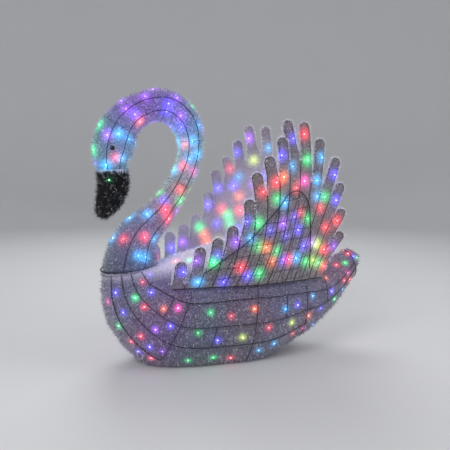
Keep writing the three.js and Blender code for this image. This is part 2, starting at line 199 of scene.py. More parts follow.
# Where the gap between two neighbouring feathers starts, as a share of their length
SPLITS = [0.1, 0.4, 0.6, 0.7, 0.7, 0.8, 0.8, 0.8, 0.8, 0.7, 0.7, 0.8, 0.8, 0.7]
NOTCH = 0.1
FEATHER_ROWS = 72
FEATHER_COLUMNS = 8
TIP_ROWS = 5
TIP_LAST_ANGLE = math.radians(80)
# A feather's thickness at its edges: where it is joined, and how much less where it is free. The
# tip thins by the last share.
EDGE_THICKNESS = 0.74
EDGE_THINNING = 0.42
TIP_THINNING = 0.6

# The wire round a feather: its share of the feather's width, and how far off the middle it lies.
# It is thinner where feathers are joined, and all along the taller ones.
OUTLINE_INSET = 0.92
OUTLINE_LIFT = 4.0
THIN_OUTLINE_FROM = 7
THIN_OUTLINE = 0.55
THIN_OUTLINE_INSET = 0.80
JOINED_OUTLINE_INSET = 0.97
# The pale fringe stands on a band of this width along the feathers' open edges, and fades over the
# next stretch
FRINGE_BAND = 2
FRINGE_FADE = 3
# The inner face's painted light of the bulbs fades upwards into painted shade: the height in metres
# where that ends, the run over which it does, and the share of the painted light left over it
INNER_LIGHT_FADE = (0.80, 0.25)
INNER_TIP_LIGHT = 0.25

# Brace wire on each wing's outer face, seen from the side
BRACE_POINTS = [
    (-177, 338), (-137, 367), (-95, 397), (-52, 426), (-15, 457), (20, 492), (53, 524), (79, 556),
    (102, 582), (132, 596), (160, 595), (183, 579), (201, 551), (210, 500), (214, 440), (215, 385),
    (213, 325),
]
# The net inside it: how far over the base line it ends, the lean of its two sets of threads, the
# distance between a thread's points and how far it strays
NET = {"foot": 8, "leans": (0.06, 1.25), "step": 9, "sway": 3.0}
# How far off the wing's middle the wires on its outer face lie
WING_WIRE_LIFTS = {"base": 4.8, "brace": 7.6, "net": 4.6}

# Light strings on the body: angle from the top, and the section rows between which it runs
BODY_STRINGS = [
    (24, 1.5, 9), (30, 11.8, 17.4), (52, 12.4, 17.6), (64, 0.5, 4), (86, 0.4, 17.4), (106, 0.5, 15.8),
    (128, 0.5, 12.5), (151, 0.8, 8.5),
]
FLOOR_CLEARANCE = 12
# Lengths of bulbs as shares of their thickness. Those in the wings show on both faces.
BULB_LENGTH = 1.7
WING_BULB_LENGTH = 2.5
# Bulbs sit this far under the twine's skin, and some are much dimmer than others
BULB_SINK = 2
BULB_POWERS = (0.3, 1.0)
BULB_POWER_CURVE = 0.7
# How unevenly bulbs follow their string: along it as a share of the spacing, and to the side in degrees
STRING_SLACK = 0.3
BODY_SWAY = 6
NECK_SWAY = 14
NECK_STRING_ANGLES = [0, 55, 90, 125, 180, 235, 270, 305]
# Where a feather's string starts and how far it runs, as shares of the feather
FEATHER_STRING = (0.06, 0.92)
# Bulb colours: red, orange, lime, green, sky blue, blue, violet and pink
BULB_COLOURS = [
    (1.0, 0.03, 0.05), (1.0, 0.17, 0.03), (0.60, 0.85, 0.12), (0.01, 0.85, 0.22),
    (0.02, 0.45, 1.0), (0.10, 0.07, 1.0), (0.36, 0.08, 1.0), (1.0, 0.06, 0.50),
]
GREEN = 3
# How often each colour comes
EVEN_SHARES = [0.18, 0.08, 0.06, 0.18, 0.14, 0.20, 0.11, 0.05]
# On the neck it changes along the way: the last row of a stretch, and the shares in it
NECK_SHARES = [
    (5, [0.12, 0.04, 0.02, 0.20, 0.42, 0.08, 0.12, 0.00]),
    (10, [0.22, 0.10, 0.03, 0.22, 0.20, 0.08, 0.10, 0.05]),
    (15, [0.05, 0.02, 0.02, 0.22, 0.36, 0.20, 0.13, 0.00]),
    (20.2, [0.05, 0.03, 0.02, 0.05, 0.04, 0.18, 0.55, 0.08]),
    (26, [0.12, 0.05, 0.05, 0.30, 0.32, 0.06, 0.10, 0.00]),
]
# How many points the bulbs' light is worked out for at once
POINTS_AT_ONCE = 8192

# A tuft's strands: each one's turn, its lean and its length as a share. They are flat, and the
# tufts differ in size.
TUFT_STRANDS = ((0.0, 0.1, 1.0), (2.2, 0.5, 0.7), (4.3, 0.8, 0.5))
TUFT_SECTION = (1.0, 0.4, 1.0)
TUFT_SCALES = (0.35, 1.3)

# Finishes: how much lighter single strands are, how much light they pass on between and on them,
# and the tones of the pale faces, which are painted light of the bulbs, between and on them
STRAND_LIGHT = 1.7
STRAND_GLOW = (0.55, 1.25)
LIT_FACE_TONES = (0.88, 1.15)
# The deck's painted light is paler than the inner wing faces', and the neck's twine, in more painted shade,
# darker than the body's
DECK_PAINTED_LIGHT = 1.35
NECK_PAINTED_SHADE = 0.5
GLINT = (0.95, 0.95, 1.0, 1.0)
SILVER = (0.85, 0.86, 0.9, 1.0)
WHITE = (1.0, 1.0, 1.0, 1.0)


# Settings

def length_setting(name, description, default, least=0.001):
    """A length in metres that a user can change"""
    return bpy.props.FloatProperty(
        name=name, description=description, default=default, min=least, unit="LENGTH")


def number_setting(name, description, default):
    """A number that a user can change"""
    return bpy.props.FloatProperty(name=name, description=description, default=default, min=0)


def colour_setting(name, description, default):
    """A colour that a user can change"""
    return bpy.props.FloatVectorProperty(
        name=name, description=description, default=default, subtype="COLOR", size=3, min=0, max=1)


class SwanSizes(bpy.types.PropertyGroup):
    """Sizes of the fine pieces"""

    wire_radius: length_setting("Wire radius", "Half the thickness of the frame wires", 0.0015, 0.0005)
    outline_radius: length_setting(
        "Outline radius", "Half the thickness of the wire round a feather", 0.0010, 0.0003)
    net_radius: length_setting(
        "Net radius", "Half the thickness of a thread of the net in a wing brace", 0.0006, 0.0002)
    net_spacing: length_setting(
        "Net spacing", "Distance between neighbouring threads of the net", 0.034, 0.005)
    tuft_length: length_setting(
        "Tuft length", "Length of the twine ends that stand out of the cover", 0.0125)
    tuft_width: length_setting(
        "Tuft width", "Width of a twine end where it leaves the cover", 0.0018, 0.0002)
    tuft_density: number_setting("Tufts per square metre", "How closely the tufts stand", 20000)
    lump: length_setting("Lump height", "How far the twine bulges and sinks over the cover", 0.0016, 0)


class SwanLights(bpy.types.PropertyGroup):
    """The strings of small lights"""

    seed: bpy.props.IntProperty(
        name="Seed", description="Fixes the order of the colours and the unevenness of the strings",
        default=11)
    body_spacing: length_setting(
        "Spacing on the body", "Distance between lights along a string on the body", 0.072, 0.01)
    neck_spacing: length_setting(
        "Spacing on the neck", "Distance between lights along a string on the neck", 0.088, 0.01)
    wing_spacing: length_setting(
        "Spacing on the wings", "Distance between lights along a feather", 0.080, 0.01)
    bulb_radius: length_setting("Bulb radius", "Half the thickness of a bulb", 0.0032, 0.0005)
    body_spot: length_setting(
        "Spot on the body", "How far the bright spot round a bulb spreads in the body's twine", 0.0105)
    neck_spot: length_setting(
        "Spot on the neck", "How far the bright spot round a bulb spreads in the neck's twine", 0.0165)
    wing_spot: length_setting(
        "Spot on the wings", "How far the bright spot round a bulb spreads in a feather", 0.0185)
    spot_strength: number_setting("Spot strength", "Brightness of the spot round a bulb", 1.6)
    haze_reach: length_setting(
        "Haze reach", "How far the faint light of a bulb spreads in the cover", 0.040)
    body_haze: number_setting("Haze on the body", "Brightness of the faint light round a bulb there", 0.065)
    neck_haze: number_setting("Haze on the neck", "Brightness of the faint light round a bulb there", 0.20)
    wing_haze: number_setting("Haze on the wings", "Brightness of the faint light round a bulb there", 0.03)


class SwanColours(bpy.types.PropertyGroup):
    """Colours of the finishes"""

    # The cover's dark tone is painted shade: the twine itself is white, like its tufts
    cover: colour_setting("Cover", "Twine of the body, neck and wings", (0.108, 0.100, 0.180))
    tuft: colour_setting("Tufts", "Loose twine ends", (0.84, 0.82, 0.95))
    # The outer wing face's dark tone is painted shade, and the inner face's pale tone painted light of the
    # bulbs: both faces are the same white twine
    net: colour_setting("Outer wing face", "Wing cover seen from outside", (0.160, 0.134, 0.152))
    inner: colour_setting("Inner wing face", "Wing cover seen from inside", (0.60, 0.53, 0.64))
    wire: colour_setting("Wire", "Frame wires", (0.030, 0.027, 0.045))
    beak: colour_setting("Beak", "Tinsel of the beak", (0.010, 0.010, 0.012))


# Surfaces as formulas, in millimetres

def smooth(rows, places, guide):
    """Reads a table of rows at fractional places, along a curve that runs through every row.
    The guide columns say how far apart two rows are."""
    rows = np.asarray(rows, float)
    places = np.clip(np.asarray(places, float), 0, len(rows) - 1)
    steps = np.linalg.norm(np.diff(rows[:, guide], axis=0), axis=1)[:, None]
    slopes = np.diff(rows, axis=0) / steps
    tangents = np.vstack([
        slopes[:1],
        (slopes[:-1] * steps[1:] + slopes[1:] * steps[:-1]) / (steps[1:] + steps[:-1]),
        slopes[-1:],
    ])
    low = np.minimum(places.astype(int), len(rows) - 2)
    s = (places - low)[..., None]
    length = steps[low]
    return (
        (2 * s**3 - 3 * s**2 + 1) * rows[low]
        + (s**3 - 2 * s**2 + s) * length * tangents[low]
        + (3 * s**2 - 2 * s**3) * rows[low + 1]
        + (s**3 - s**2) * length * tangents[low + 1]
    )


def unit(vectors):
    """Vectors at length 1"""
    return vectors / np.maximum(np.linalg.norm(vectors, axis=-1, keepdims=True), 1e-9)


def body_point(row, degrees):
    """Points on the body cover, at section rows and angles from the top"""
    row, degrees = np.broadcast_arrays(np.asarray(row, float), np.asarray(degrees, float))
    section = smooth(BODY_SECTIONS, row, slice(0, 4))
    angle = np.radians(degrees)
    centre = (section[..., 0:2] + section[..., 2:4]) / 2
    axis = section[..., 0:2] - centre
    x = centre[..., 0] + axis[..., 0] * np.cos(angle)
    y = section[..., 4] * np.sin(angle)
    z = centre[..., 1] + axis[..., 1] * np.cos(angle)
    return np.stack([x, y, np.maximum(z, 0)], axis=-1)


def body_normal(row, degrees):
    """Outward directions on the body cover"""
    ahead = body_point(np.minimum(row + 0.1, len(BODY_SECTIONS) - 1), degrees)
    along = ahead - body_point(np.maximum(row - 0.1, 0), degrees)
    around = body_point(row, degrees + 2.0) - body_point(row, degrees - 2.0)
    return unit(np.cross(along, around))


def over_body(row, degrees, lift):
    """Points that stand off the body cover by a lift"""
    row, degrees = np.broadcast_arrays(np.asarray(row, float), np.asarray(degrees, float))
    return body_point(row, degrees) + lift * body_normal(row, degrees)


def neck_table():
    """Neck sections as rows of x, z, radius and lean from upright, the first one on the joint"""
    points = np.array(NECK_POINTS, float)
    before = points[np.maximum(np.arange(len(points)) - 1, 0)]
    after = points[np.minimum(np.arange(len(points)) + 1, len(points) - 1)]
    leans = np.arctan2(after[:, 0] - before[:, 0], after[:, 1] - before[:, 1])
    leans[0] = NECK_FIRST_LEAN
    leans[-1] = NECK_LAST_LEAN
    up = np.array([-math.sin(JOINT_TILT), math.cos(JOINT_TILT)])
    start = np.array([JOINT_X, JOINT_Z]) + NECK_GAP * up
    first = [start[0], start[1], JOINT_RADIUS, -JOINT_TILT]
    table = np.vstack([first, np.column_stack([points, leans])])
    table[:, 3] = np.unwrap(table[:, 3])
    return table


NECK_TABLE = neck_table()
NECK_LAST = len(NECK_TABLE) - 1


def neck_point(row, degrees, lift=0.0):
    """Points on the neck and head cover. The angle starts at the outside of the neck's bend."""
    row, degrees = np.broadcast_arrays(np.asarray(row, float), np.asarray(degrees, float))
    x, z, radius, lean = np.moveaxis(smooth(NECK_TABLE, row, slice(0, 2)), -1, 0)
    angle = np.radians(degrees)
    reach = (radius + lift) * np.cos(angle)
    return np.stack([
        x + reach * np.cos(lean), (radius + lift) * np.sin(angle), z - reach * np.sin(lean),
    ], axis=-1)


def beak_point(row, degrees, lift=0.0):
    """Points on the beak"""
    row, degrees = np.broadcast_arrays(np.asarray(row, float), np.asarray(degrees, float))
    step = 0.2
    x, z, deep, wide = np.moveaxis(smooth(BEAK_POINTS, row, slice(0, 2)), -1, 0)
    ahead = smooth(BEAK_POINTS, row + step, slice(0, 2)) - smooth(BEAK_POINTS, row - step, slice(0, 2))
    level = np.clip(row / 0.5, 0, 1)
    along = unit(np.stack([ahead[..., 0] * level, ahead[..., 1]], axis=-1))
    angle = np.radians(degrees)
    reach = (deep + lift) * np.cos(angle)
    return np.stack([
        x + reach * along[..., 1], (wide + lift) * np.sin(angle), z - reach * along[..., 0],
    ], axis=-1)


def body_half_width(x, z):
    """Half width of the body at a point seen from the side"""
    rows = np.linspace(0, len(BODY_SECTIONS) - 1, 400)
    table = smooth(BODY_SECTIONS, rows, slice(0, 4))
    down_x = table[:, 2] - table[:, 0]
    down_z = table[:, 3] - table[:, 1]
    side = down_x * (z - table[:, 1]) - down_z * (x - table[:, 0])
    place = int(np.argmax(side[:-1] * side[1:] <= 0))
    share = side[place] / (side[place] - side[place + 1])
    section = table[place] + (table[place + 1] - table[place]) * share
    down = (section[1] - z) / (section[1] - section[3])
    return section[4] * math.sqrt(max(1 - (1 - 2 * down) ** 2, 0))


def wing_base_x(edge):
    """Where the edge between two feathers meets the base line"""
    share = (edge / len(FEATHERS)) ** WING_SPACING_POWER
    return WING_FRONT + (WING_BACK - WING_FRONT) * share


FEATHER_BASES = [(wing_base_x(i) + wing_base_x(i + 1)) / 2 for i in range(len(FEATHERS))]
FEATHER_BASE_OUT = [body_half_width(x, WING_Z) + WING_HULL_GAP for x in FEATHER_BASES]


def feather_line(index, t):
    """Points on a feather's centre line: t runs from 0 at the base line to 1 at the tip"""
    tip_x, tip_z, out, bow = FEATHERS[index]
    t = np.asarray(t, float)
    height = tip_z - WING_Z
    flare = 1 - np.exp(-height * t / WING_FLARE_HEIGHT)
    share = flare / (1 - math.exp(-height / WING_FLARE_HEIGHT))
    x = FEATHER_BASES[index] + (tip_x - FEATHER_BASES[index]) * t + 4 * t * (1 - t) * bow
    y = FEATHER_BASE_OUT[index] + (out - FEATHER_BASE_OUT[index]) * share
    return np.stack([x, y, WING_Z + height * t], axis=-1)


def feather_across(index, t):
    """Directions across a feather, seen from the side"""
    step = 0.02
    along = feather_line(index, np.minimum(t + step, 1)) - feather_line(index, np.maximum(t - step, 0))
    along = unit(along * [1, 0, 1])
    return np.stack([along[..., 2], np.zeros(along.shape[:-1]), -along[..., 0]], axis=-1)


def eased(values):
    """0 to 1 with a soft start and end"""
    values = np.clip(values, 0, 1)
    return values * values * (3 - 2 * values)


def straight_share(index):
    """The share of a feather's length where its round tip starts"""
    return 1 - FEATHER_WIDTH / 2 / (FEATHERS[index][1] - WING_Z)


def feather_edge(index, rows, side):
    """One edge of a feather. Below the split it is the middle line between the neighbours."""
    t = rows * straight_share(index)
    free = feather_line(index, t) + side * FEATHER_WIDTH / 2 * feather_across(index, t)
    other = index + side
    if not 0 <= other < len(FEATHERS):
        return free, np.ones(len(rows))
    shared = (feather_line(index, t) + feather_line(other, rows * straight_share(other))) / 2
    opening = eased((rows - SPLITS[min(index, other)]) / NOTCH)
    return shared + (free - shared) * opening[:, None], opening


def feather_grid(index):
    """A feather's mid surface as a grid of points, with its thickness and how open its edges are"""
    rows = np.linspace(0, 1, FEATHER_ROWS + 1)
    left, left_open = feather_edge(index, rows, -1)
    right, right_open = feather_edge(index, rows, 1)
    places = np.linspace(0, 1, FEATHER_COLUMNS + 1)[None, :, None]
    grid = left[:, None] + (right - left)[:, None] * places
    end = straight_share(index)
    across = feather_across(index, np.array(end))
    up = np.array([-across[2], 0, across[0]])
    beta = np.linspace(0, TIP_LAST_ANGLE, TIP_ROWS + 1)[1:, None, None]
    spread = (places * 2 - 1) * np.cos(beta) * across + np.sin(beta) * up
    lean = (feather_line(index, 1.0) - feather_line(index, end))[1]
    tip = feather_line(index, np.array(end)) + FEATHER_WIDTH / 2 * spread
    tip[..., 1] += lean * np.sin(beta[..., 0])
    column = np.abs(places[..., 0] * 2 - 1)
    opening = np.where(places[..., 0] < 0.5, left_open[:, None], right_open[:, None])
    opening = np.vstack([opening, np.ones((TIP_ROWS, FEATHER_COLUMNS + 1))])
    edge = EDGE_THICKNESS - EDGE_THINNING * opening
    thickness = edge + (1 - edge) * np.sqrt(1 - column**3)
    last = 1 - TIP_THINNING * np.linspace(0, 1, TIP_ROWS + 1)[1:] ** 3
    thickness[-TIP_ROWS:] *= last[:, None]
    return np.concatenate([grid, tip]), thickness * WING_THICKNESS / 2


FEATHER_GRIDS = [feather_grid(i) for i in range(len(FEATHERS))]


def grid_normals(grid):
    """Directions away from the middle plane, square to a grid of points"""
    normals = unit(np.cross(np.gradient(grid, axis=1), np.gradient(grid, axis=0)))
    return normals * np.where(normals[..., 1:2] < 0, -1, 1)


# Mesh making

def add_object(name, mesh):
    """A new object in the scene, at the origin"""
    piece = bpy.data.objects.new(name, mesh)
    bpy.context.scene.collection.objects.link(piece)
    return piece


def outward(points, faces):
    """Faces turned so that a closed body's faces point outwards"""
    volume = sum(
        points[face[0]] @ np.cross(points[face[i]], points[face[i + 1]])
        for face in faces for i in range(1, len(face) - 1))
    return [tuple(reversed(face)) for face in faces] if volume < 0 else faces


def make_mesh(name, points, faces):
    """A smooth-shaded mesh in metres from points in millimetres"""
    mesh = bpy.data.meshes.new(name)
    mesh.from_pydata((np.asarray(points) * MM).tolist(), [], faces)
    mesh.polygons.foreach_set("use_smooth", [True] * len(mesh.polygons))
    mesh.update()
    return mesh


def loft(rings):
    """Points and faces of a closed skin over rings of points, with a fan over both ends"""
    rows, count = rings.shape[:2]
    points = np.vstack([rings.reshape(-1, 3), rings[0].mean(0), rings[-1].mean(0)])
    faces = []
    for row in range(rows - 1):
        for i in range(count):
            j = (i + 1) % count
            low, high = row * count, (row + 1) * count
            faces.append((low + i, low + j, high + j, high + i))
    for row, middle, turn in ((0, rows * count, 1), (rows - 1, rows * count + 1, -1)):
        for i in range(count):
            edge = (row * count + i, row * count + (i + 1) % count)[::turn]
            faces.append((edge[1], edge[0], middle))
    return points, outward(points, faces)


def mesh_array(mesh, name, width):
    """Vertex positions or normals of a mesh as an array"""
    values = np.empty(len(mesh.vertices) * width, np.float32)
    mesh.vertices.foreach_get(name, values)
    return values.reshape(-1, width)


def set_point_value(mesh, name, values):
    """Stores one number for each vertex"""
    mesh.attributes.new(name, "FLOAT", "POINT").data.foreach_set("value", np.asarray(values, np.float32))


def add_lumps(mesh, height, size):
    """Bulges and hollows of loosely wound twine. What rests on the floor stays flat."""
    points = mesh_array(mesh, "co", 3)
    normals = mesh_array(mesh, "normal", 3)
    share, scale = FINE_LUMPS
    lumps = np.array([
        noise.noise(Vector(p) / size) + share * noise.noise(Vector(p) / (size * scale)) for p in points])
    moved = points + normals * (height * lumps)[:, None]
    moved[:, 2] = np.where(points[:, 2] < FLOOR_FLAT, points[:, 2], np.maximum(moved[:, 2], 0))
    mesh.vertices.foreach_set("co", moved.ravel())
    mesh.update()


def keep_off_floor(mesh):
    """Strands that would reach into the floor bend up to it"""
    points = mesh_array(mesh, "co", 3)
    points[:, 2] = np.maximum(points[:, 2], STRAND_CLEARANCE)
    mesh.vertices.foreach_set("co", points.ravel())
    mesh.update()


def clumps(points, size=0.028, low=0.25, high=1.0):
    """Uneven shares for tufts that stand in clumps"""
    values = np.array([noise.noise(Vector(p) / size) for p in points])
    return low + (high - low) * np.clip(values * 1.6 + 0.5, 0, 1)


def finish_piece(piece, replaces=()):
    """Rides a finished piece on the figure's one body and hides the parts it stands for"""
    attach(piece, BODY)
    if replaces:
        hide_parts(*replaces)
    return piece


# Node trees

class Nodes:
    """Short calls to add and link the nodes of one tree"""

    def __init__(self, tree):
        self.tree = tree

    def feed(self, socket, value):
        """Gives an input a value, or links another node's output to it"""
        if isinstance(value, bpy.types.NodeSocket):
            self.tree.links.new(value, socket)
        else:
            socket.default_value = value

    def add(self, kind, feeds=None, **settings):
        """A node with its settings and its inputs, which are values or other nodes' outputs"""
        node = self.tree.nodes.new(kind)
        for name, value in settings.items():
            setattr(node, name, value)
        for key, value in (feeds or {}).items():
            self.feed(node.inputs[key], value)
        return node

    def out(self, kind, feeds=None, **settings):
        """The first output of a new node"""
        return self.add(kind, feeds, **settings).outputs[0]

    def maths(self, operation, a, b=0.0, c=0.0):
        """The result of a sum on one, two or three values"""
        return self.out("ShaderNodeMath", {0: a, 1: b, 2: c}, operation=operation)

    def vector(self, x, y, z):
        """Three numbers as one vector"""
        return self.out("ShaderNodeCombineXYZ", {0: x, 1: y, 2: z})

    def scaled(self, colour, scale):
        """A colour times a number"""
        return self.out("ShaderNodeVectorMath", {0: colour, "Scale": scale}, operation="SCALE")

    def mix(self, share, a, b):
        """A mix of two colours"""
        return self.add("ShaderNodeMix", {0: share, 6: a, 7: b}, data_type="RGBA").outputs[2]

    def ramp(self, value, low, high, to_low=0.0, to_high=1.0):
        """A value carried from one range to another, and held at its ends"""
        feeds = {"Value": value, "From Min": low, "From Max": high, "To Min": to_low, "To Max": to_high}
        return self.add("ShaderNodeMapRange", feeds, clamp=True).outputs["Result"]

    def grain(self, vector, scale, detail=2.0, distortion=0.0):
        """Noise from 0 to 1"""
        feeds = {"Vector": vector, "Scale": scale, "Detail": detail, "Distortion": distortion}
        return self.add("ShaderNodeTexNoise", feeds).outputs["Fac"]

    def chance(self, low, high, seed):
        """An even random number for each tuft"""
        feeds = {2: low, 3: high, "Seed": seed}
        return self.add("FunctionNodeRandomValue", feeds, data_type="FLOAT").outputs[1]

    def stored(self, name, kind="FLOAT"):
        """A value stored on the points of a geometry tree's mesh"""
        return self.out("GeometryNodeInputNamedAttribute", {"Name": name}, data_type=kind)

    def end(self, result, shapes, material):
        """Ends a geometry tree with real meshes in one material"""
        real = self.out("GeometryNodeRealizeInstances", {"Geometry": shapes})
        self.feed(result[0], self.out("GeometryNodeSetMaterial", {"Geometry": real, "Material": material}))


def new_group(name, kind, inputs, outputs):
    """An empty node group with named inputs and outputs"""
    tree = bpy.data.node_groups.new(name, kind)
    for direction, sockets in (("INPUT", inputs), ("OUTPUT", outputs)):
        for socket_name, socket_type, *default in sockets:
            socket = tree.interface.new_socket(
                socket_name, in_out=direction, socket_type="NodeSocket" + socket_type)
            if default:
                socket.default_value = default[0]
    nodes = Nodes(tree)
    return tree, nodes, nodes.add("NodeGroupInput").outputs, nodes.add("NodeGroupOutput").inputs


def run_tree(name, carrier, tree, values):
    """Runs a geometry node tree on a carrier mesh and gives its result as a plain mesh object"""
    modifier = carrier.modifiers.new("Shape", "NODES")
    modifier.node_group = tree
    for item in tree.interface.items_tree:
        if item.in_out == "INPUT" and item.name in values:
            modifier[item.identifier] = values[item.name]
    depsgraph = bpy.context.evaluated_depsgraph_get()
    mesh = bpy.data.meshes.new_from_object(
        carrier.evaluated_get(depsgraph), preserve_all_data_layers=True, depsgraph=depsgraph)
    mesh.name = name
    carrier.modifiers.remove(modifier)
    return add_object(name, mesh)


def tree_for(name, build):
    """A node tree that is built the first time it is asked for"""
    return bpy.data.node_groups.get(name) or build(name)


def build_wire_tree(name):
    """Round wires along chains of edges. A point's thickness scales the radius."""
    tree, nodes, given, result = new_group(name, "GeometryNodeTree", [
        ("Paths", "Geometry"), ("Radius", "Float", 0.002), ("Sides", "Int", 6), ("Material", "Material"),
    ], [("Wires", "Geometry")])
    curve = nodes.out("GeometryNodeMeshToCurve", {"Mesh": given["Paths"]})
    profile = nodes.out("GeometryNodeCurvePrimitiveCircle", {
        "Resolution": given["Sides"], "Radius": given["Radius"]})
    tube = nodes.out("GeometryNodeCurveToMesh", {
        "Curve": curve, "Profile Curve": profile, "Scale": nodes.stored("thickness"), "Fill Caps": True})
    rounded = nodes.out("GeometryNodeSetShadeSmooth", {"Geometry": tube, "Shade Smooth": True})
    nodes.end(result, rounded, given["Material"])
    return tree


def build_tuft_tree(name):
    """Tufts of three pointed strands scattered over a cover, denser where its tuft value is higher"""
    tree, nodes, given, result = new_group(name, "GeometryNodeTree", [
        ("Cover", "Geometry"), ("Density", "Float", 10000.0), ("Length", "Float", 0.01),
        ("Width", "Float", 0.001), ("Lean", "Float", 0.8), ("Seed", "Int", 1), ("Material", "Material"),
    ], [("Tufts", "Geometry")])
    density = nodes.maths("MULTIPLY", nodes.stored("tuft"), given["Density"])
    spots = nodes.add("GeometryNodeDistributePointsOnFaces", {
        "Mesh": given["Cover"], "Density": density, "Seed": given["Seed"]}).outputs
    half_width = nodes.maths("MULTIPLY", given["Width"], 0.5)
    tuft = nodes.add("GeometryNodeJoinGeometry")
    for turn, lean, size in TUFT_STRANDS:
        strand = nodes.out("GeometryNodeMeshCone", {
            "Vertices": 3, "Side Segments": 1, "Fill Segments": 1, "Radius Top": 0.0,
            "Radius Bottom": half_width, "Depth": nodes.maths("MULTIPLY", given["Length"], size)})
        flat = nodes.out("GeometryNodeTransform", {"Geometry": strand, "Scale": TUFT_SECTION})
        turned = nodes.out("GeometryNodeTransform", {"Geometry": flat, "Rotation": (lean, 0.0, turn)})
        nodes.feed(tuft.inputs[0], turned)
    back = nodes.maths("MULTIPLY", given["Lean"], -1.0)
    tilt = nodes.out("FunctionNodeRandomValue", {
        "Min": nodes.vector(back, back, 0.0), "Max": nodes.vector(given["Lean"], given["Lean"], math.tau),
        "Seed": given["Seed"]}, data_type="FLOAT_VECTOR")
    rotation = nodes.out("FunctionNodeRotateRotation", {
        "Rotation": spots["Rotation"], "Rotate By": nodes.out("FunctionNodeEulerToRotation", {0: tilt}),
    }, rotation_space="LOCAL")
    placed = nodes.out("GeometryNodeInstanceOnPoints", {
        "Points": spots["Points"], "Instance": tuft.outputs[0], "Rotation": rotation,
        "Scale": nodes.chance(*TUFT_SCALES, given["Seed"])})
    shaded = nodes.out("GeometryNodeStoreNamedAttribute", {
        "Geometry": placed, "Name": "shade", "Value": nodes.chance(0.0, 1.0, given["Seed"])},
        data_type="FLOAT", domain="INSTANCE")
    nodes.end(result, shaded, given["Material"])
    return tree


def build_bulb_tree(name):
    """Long round bulbs on points, each turned to its own direction"""
    tree, nodes, given, result = new_group(name, "GeometryNodeTree", [
        ("Places", "Geometry"), ("Radius", "Float", 0.0025), ("Material", "Material"),
    ], [("Bulbs", "Geometry")])
    points = nodes.out("GeometryNodeMeshToPoints", {"Mesh": given["Places"]})
    ball = nodes.out("GeometryNodeMeshUVSphere", {"Segments": 8, "Rings": 6, "Radius": given["Radius"]})
    rounded = nodes.out("GeometryNodeSetShadeSmooth", {"Geometry": ball, "Shade Smooth": True})
    facing = nodes.stored("facing", "FLOAT_VECTOR")
    turn = nodes.out("FunctionNodeAlignRotationToVector", {"Vector": facing}, axis="Z")
    placed = nodes.out("GeometryNodeInstanceOnPoints", {
        "Points": points, "Instance": rounded, "Rotation": turn,
        "Scale": nodes.vector(1.0, 1.0, nodes.stored("length"))})
    nodes.end(result, placed, given["Material"])
    return tree


# Lights

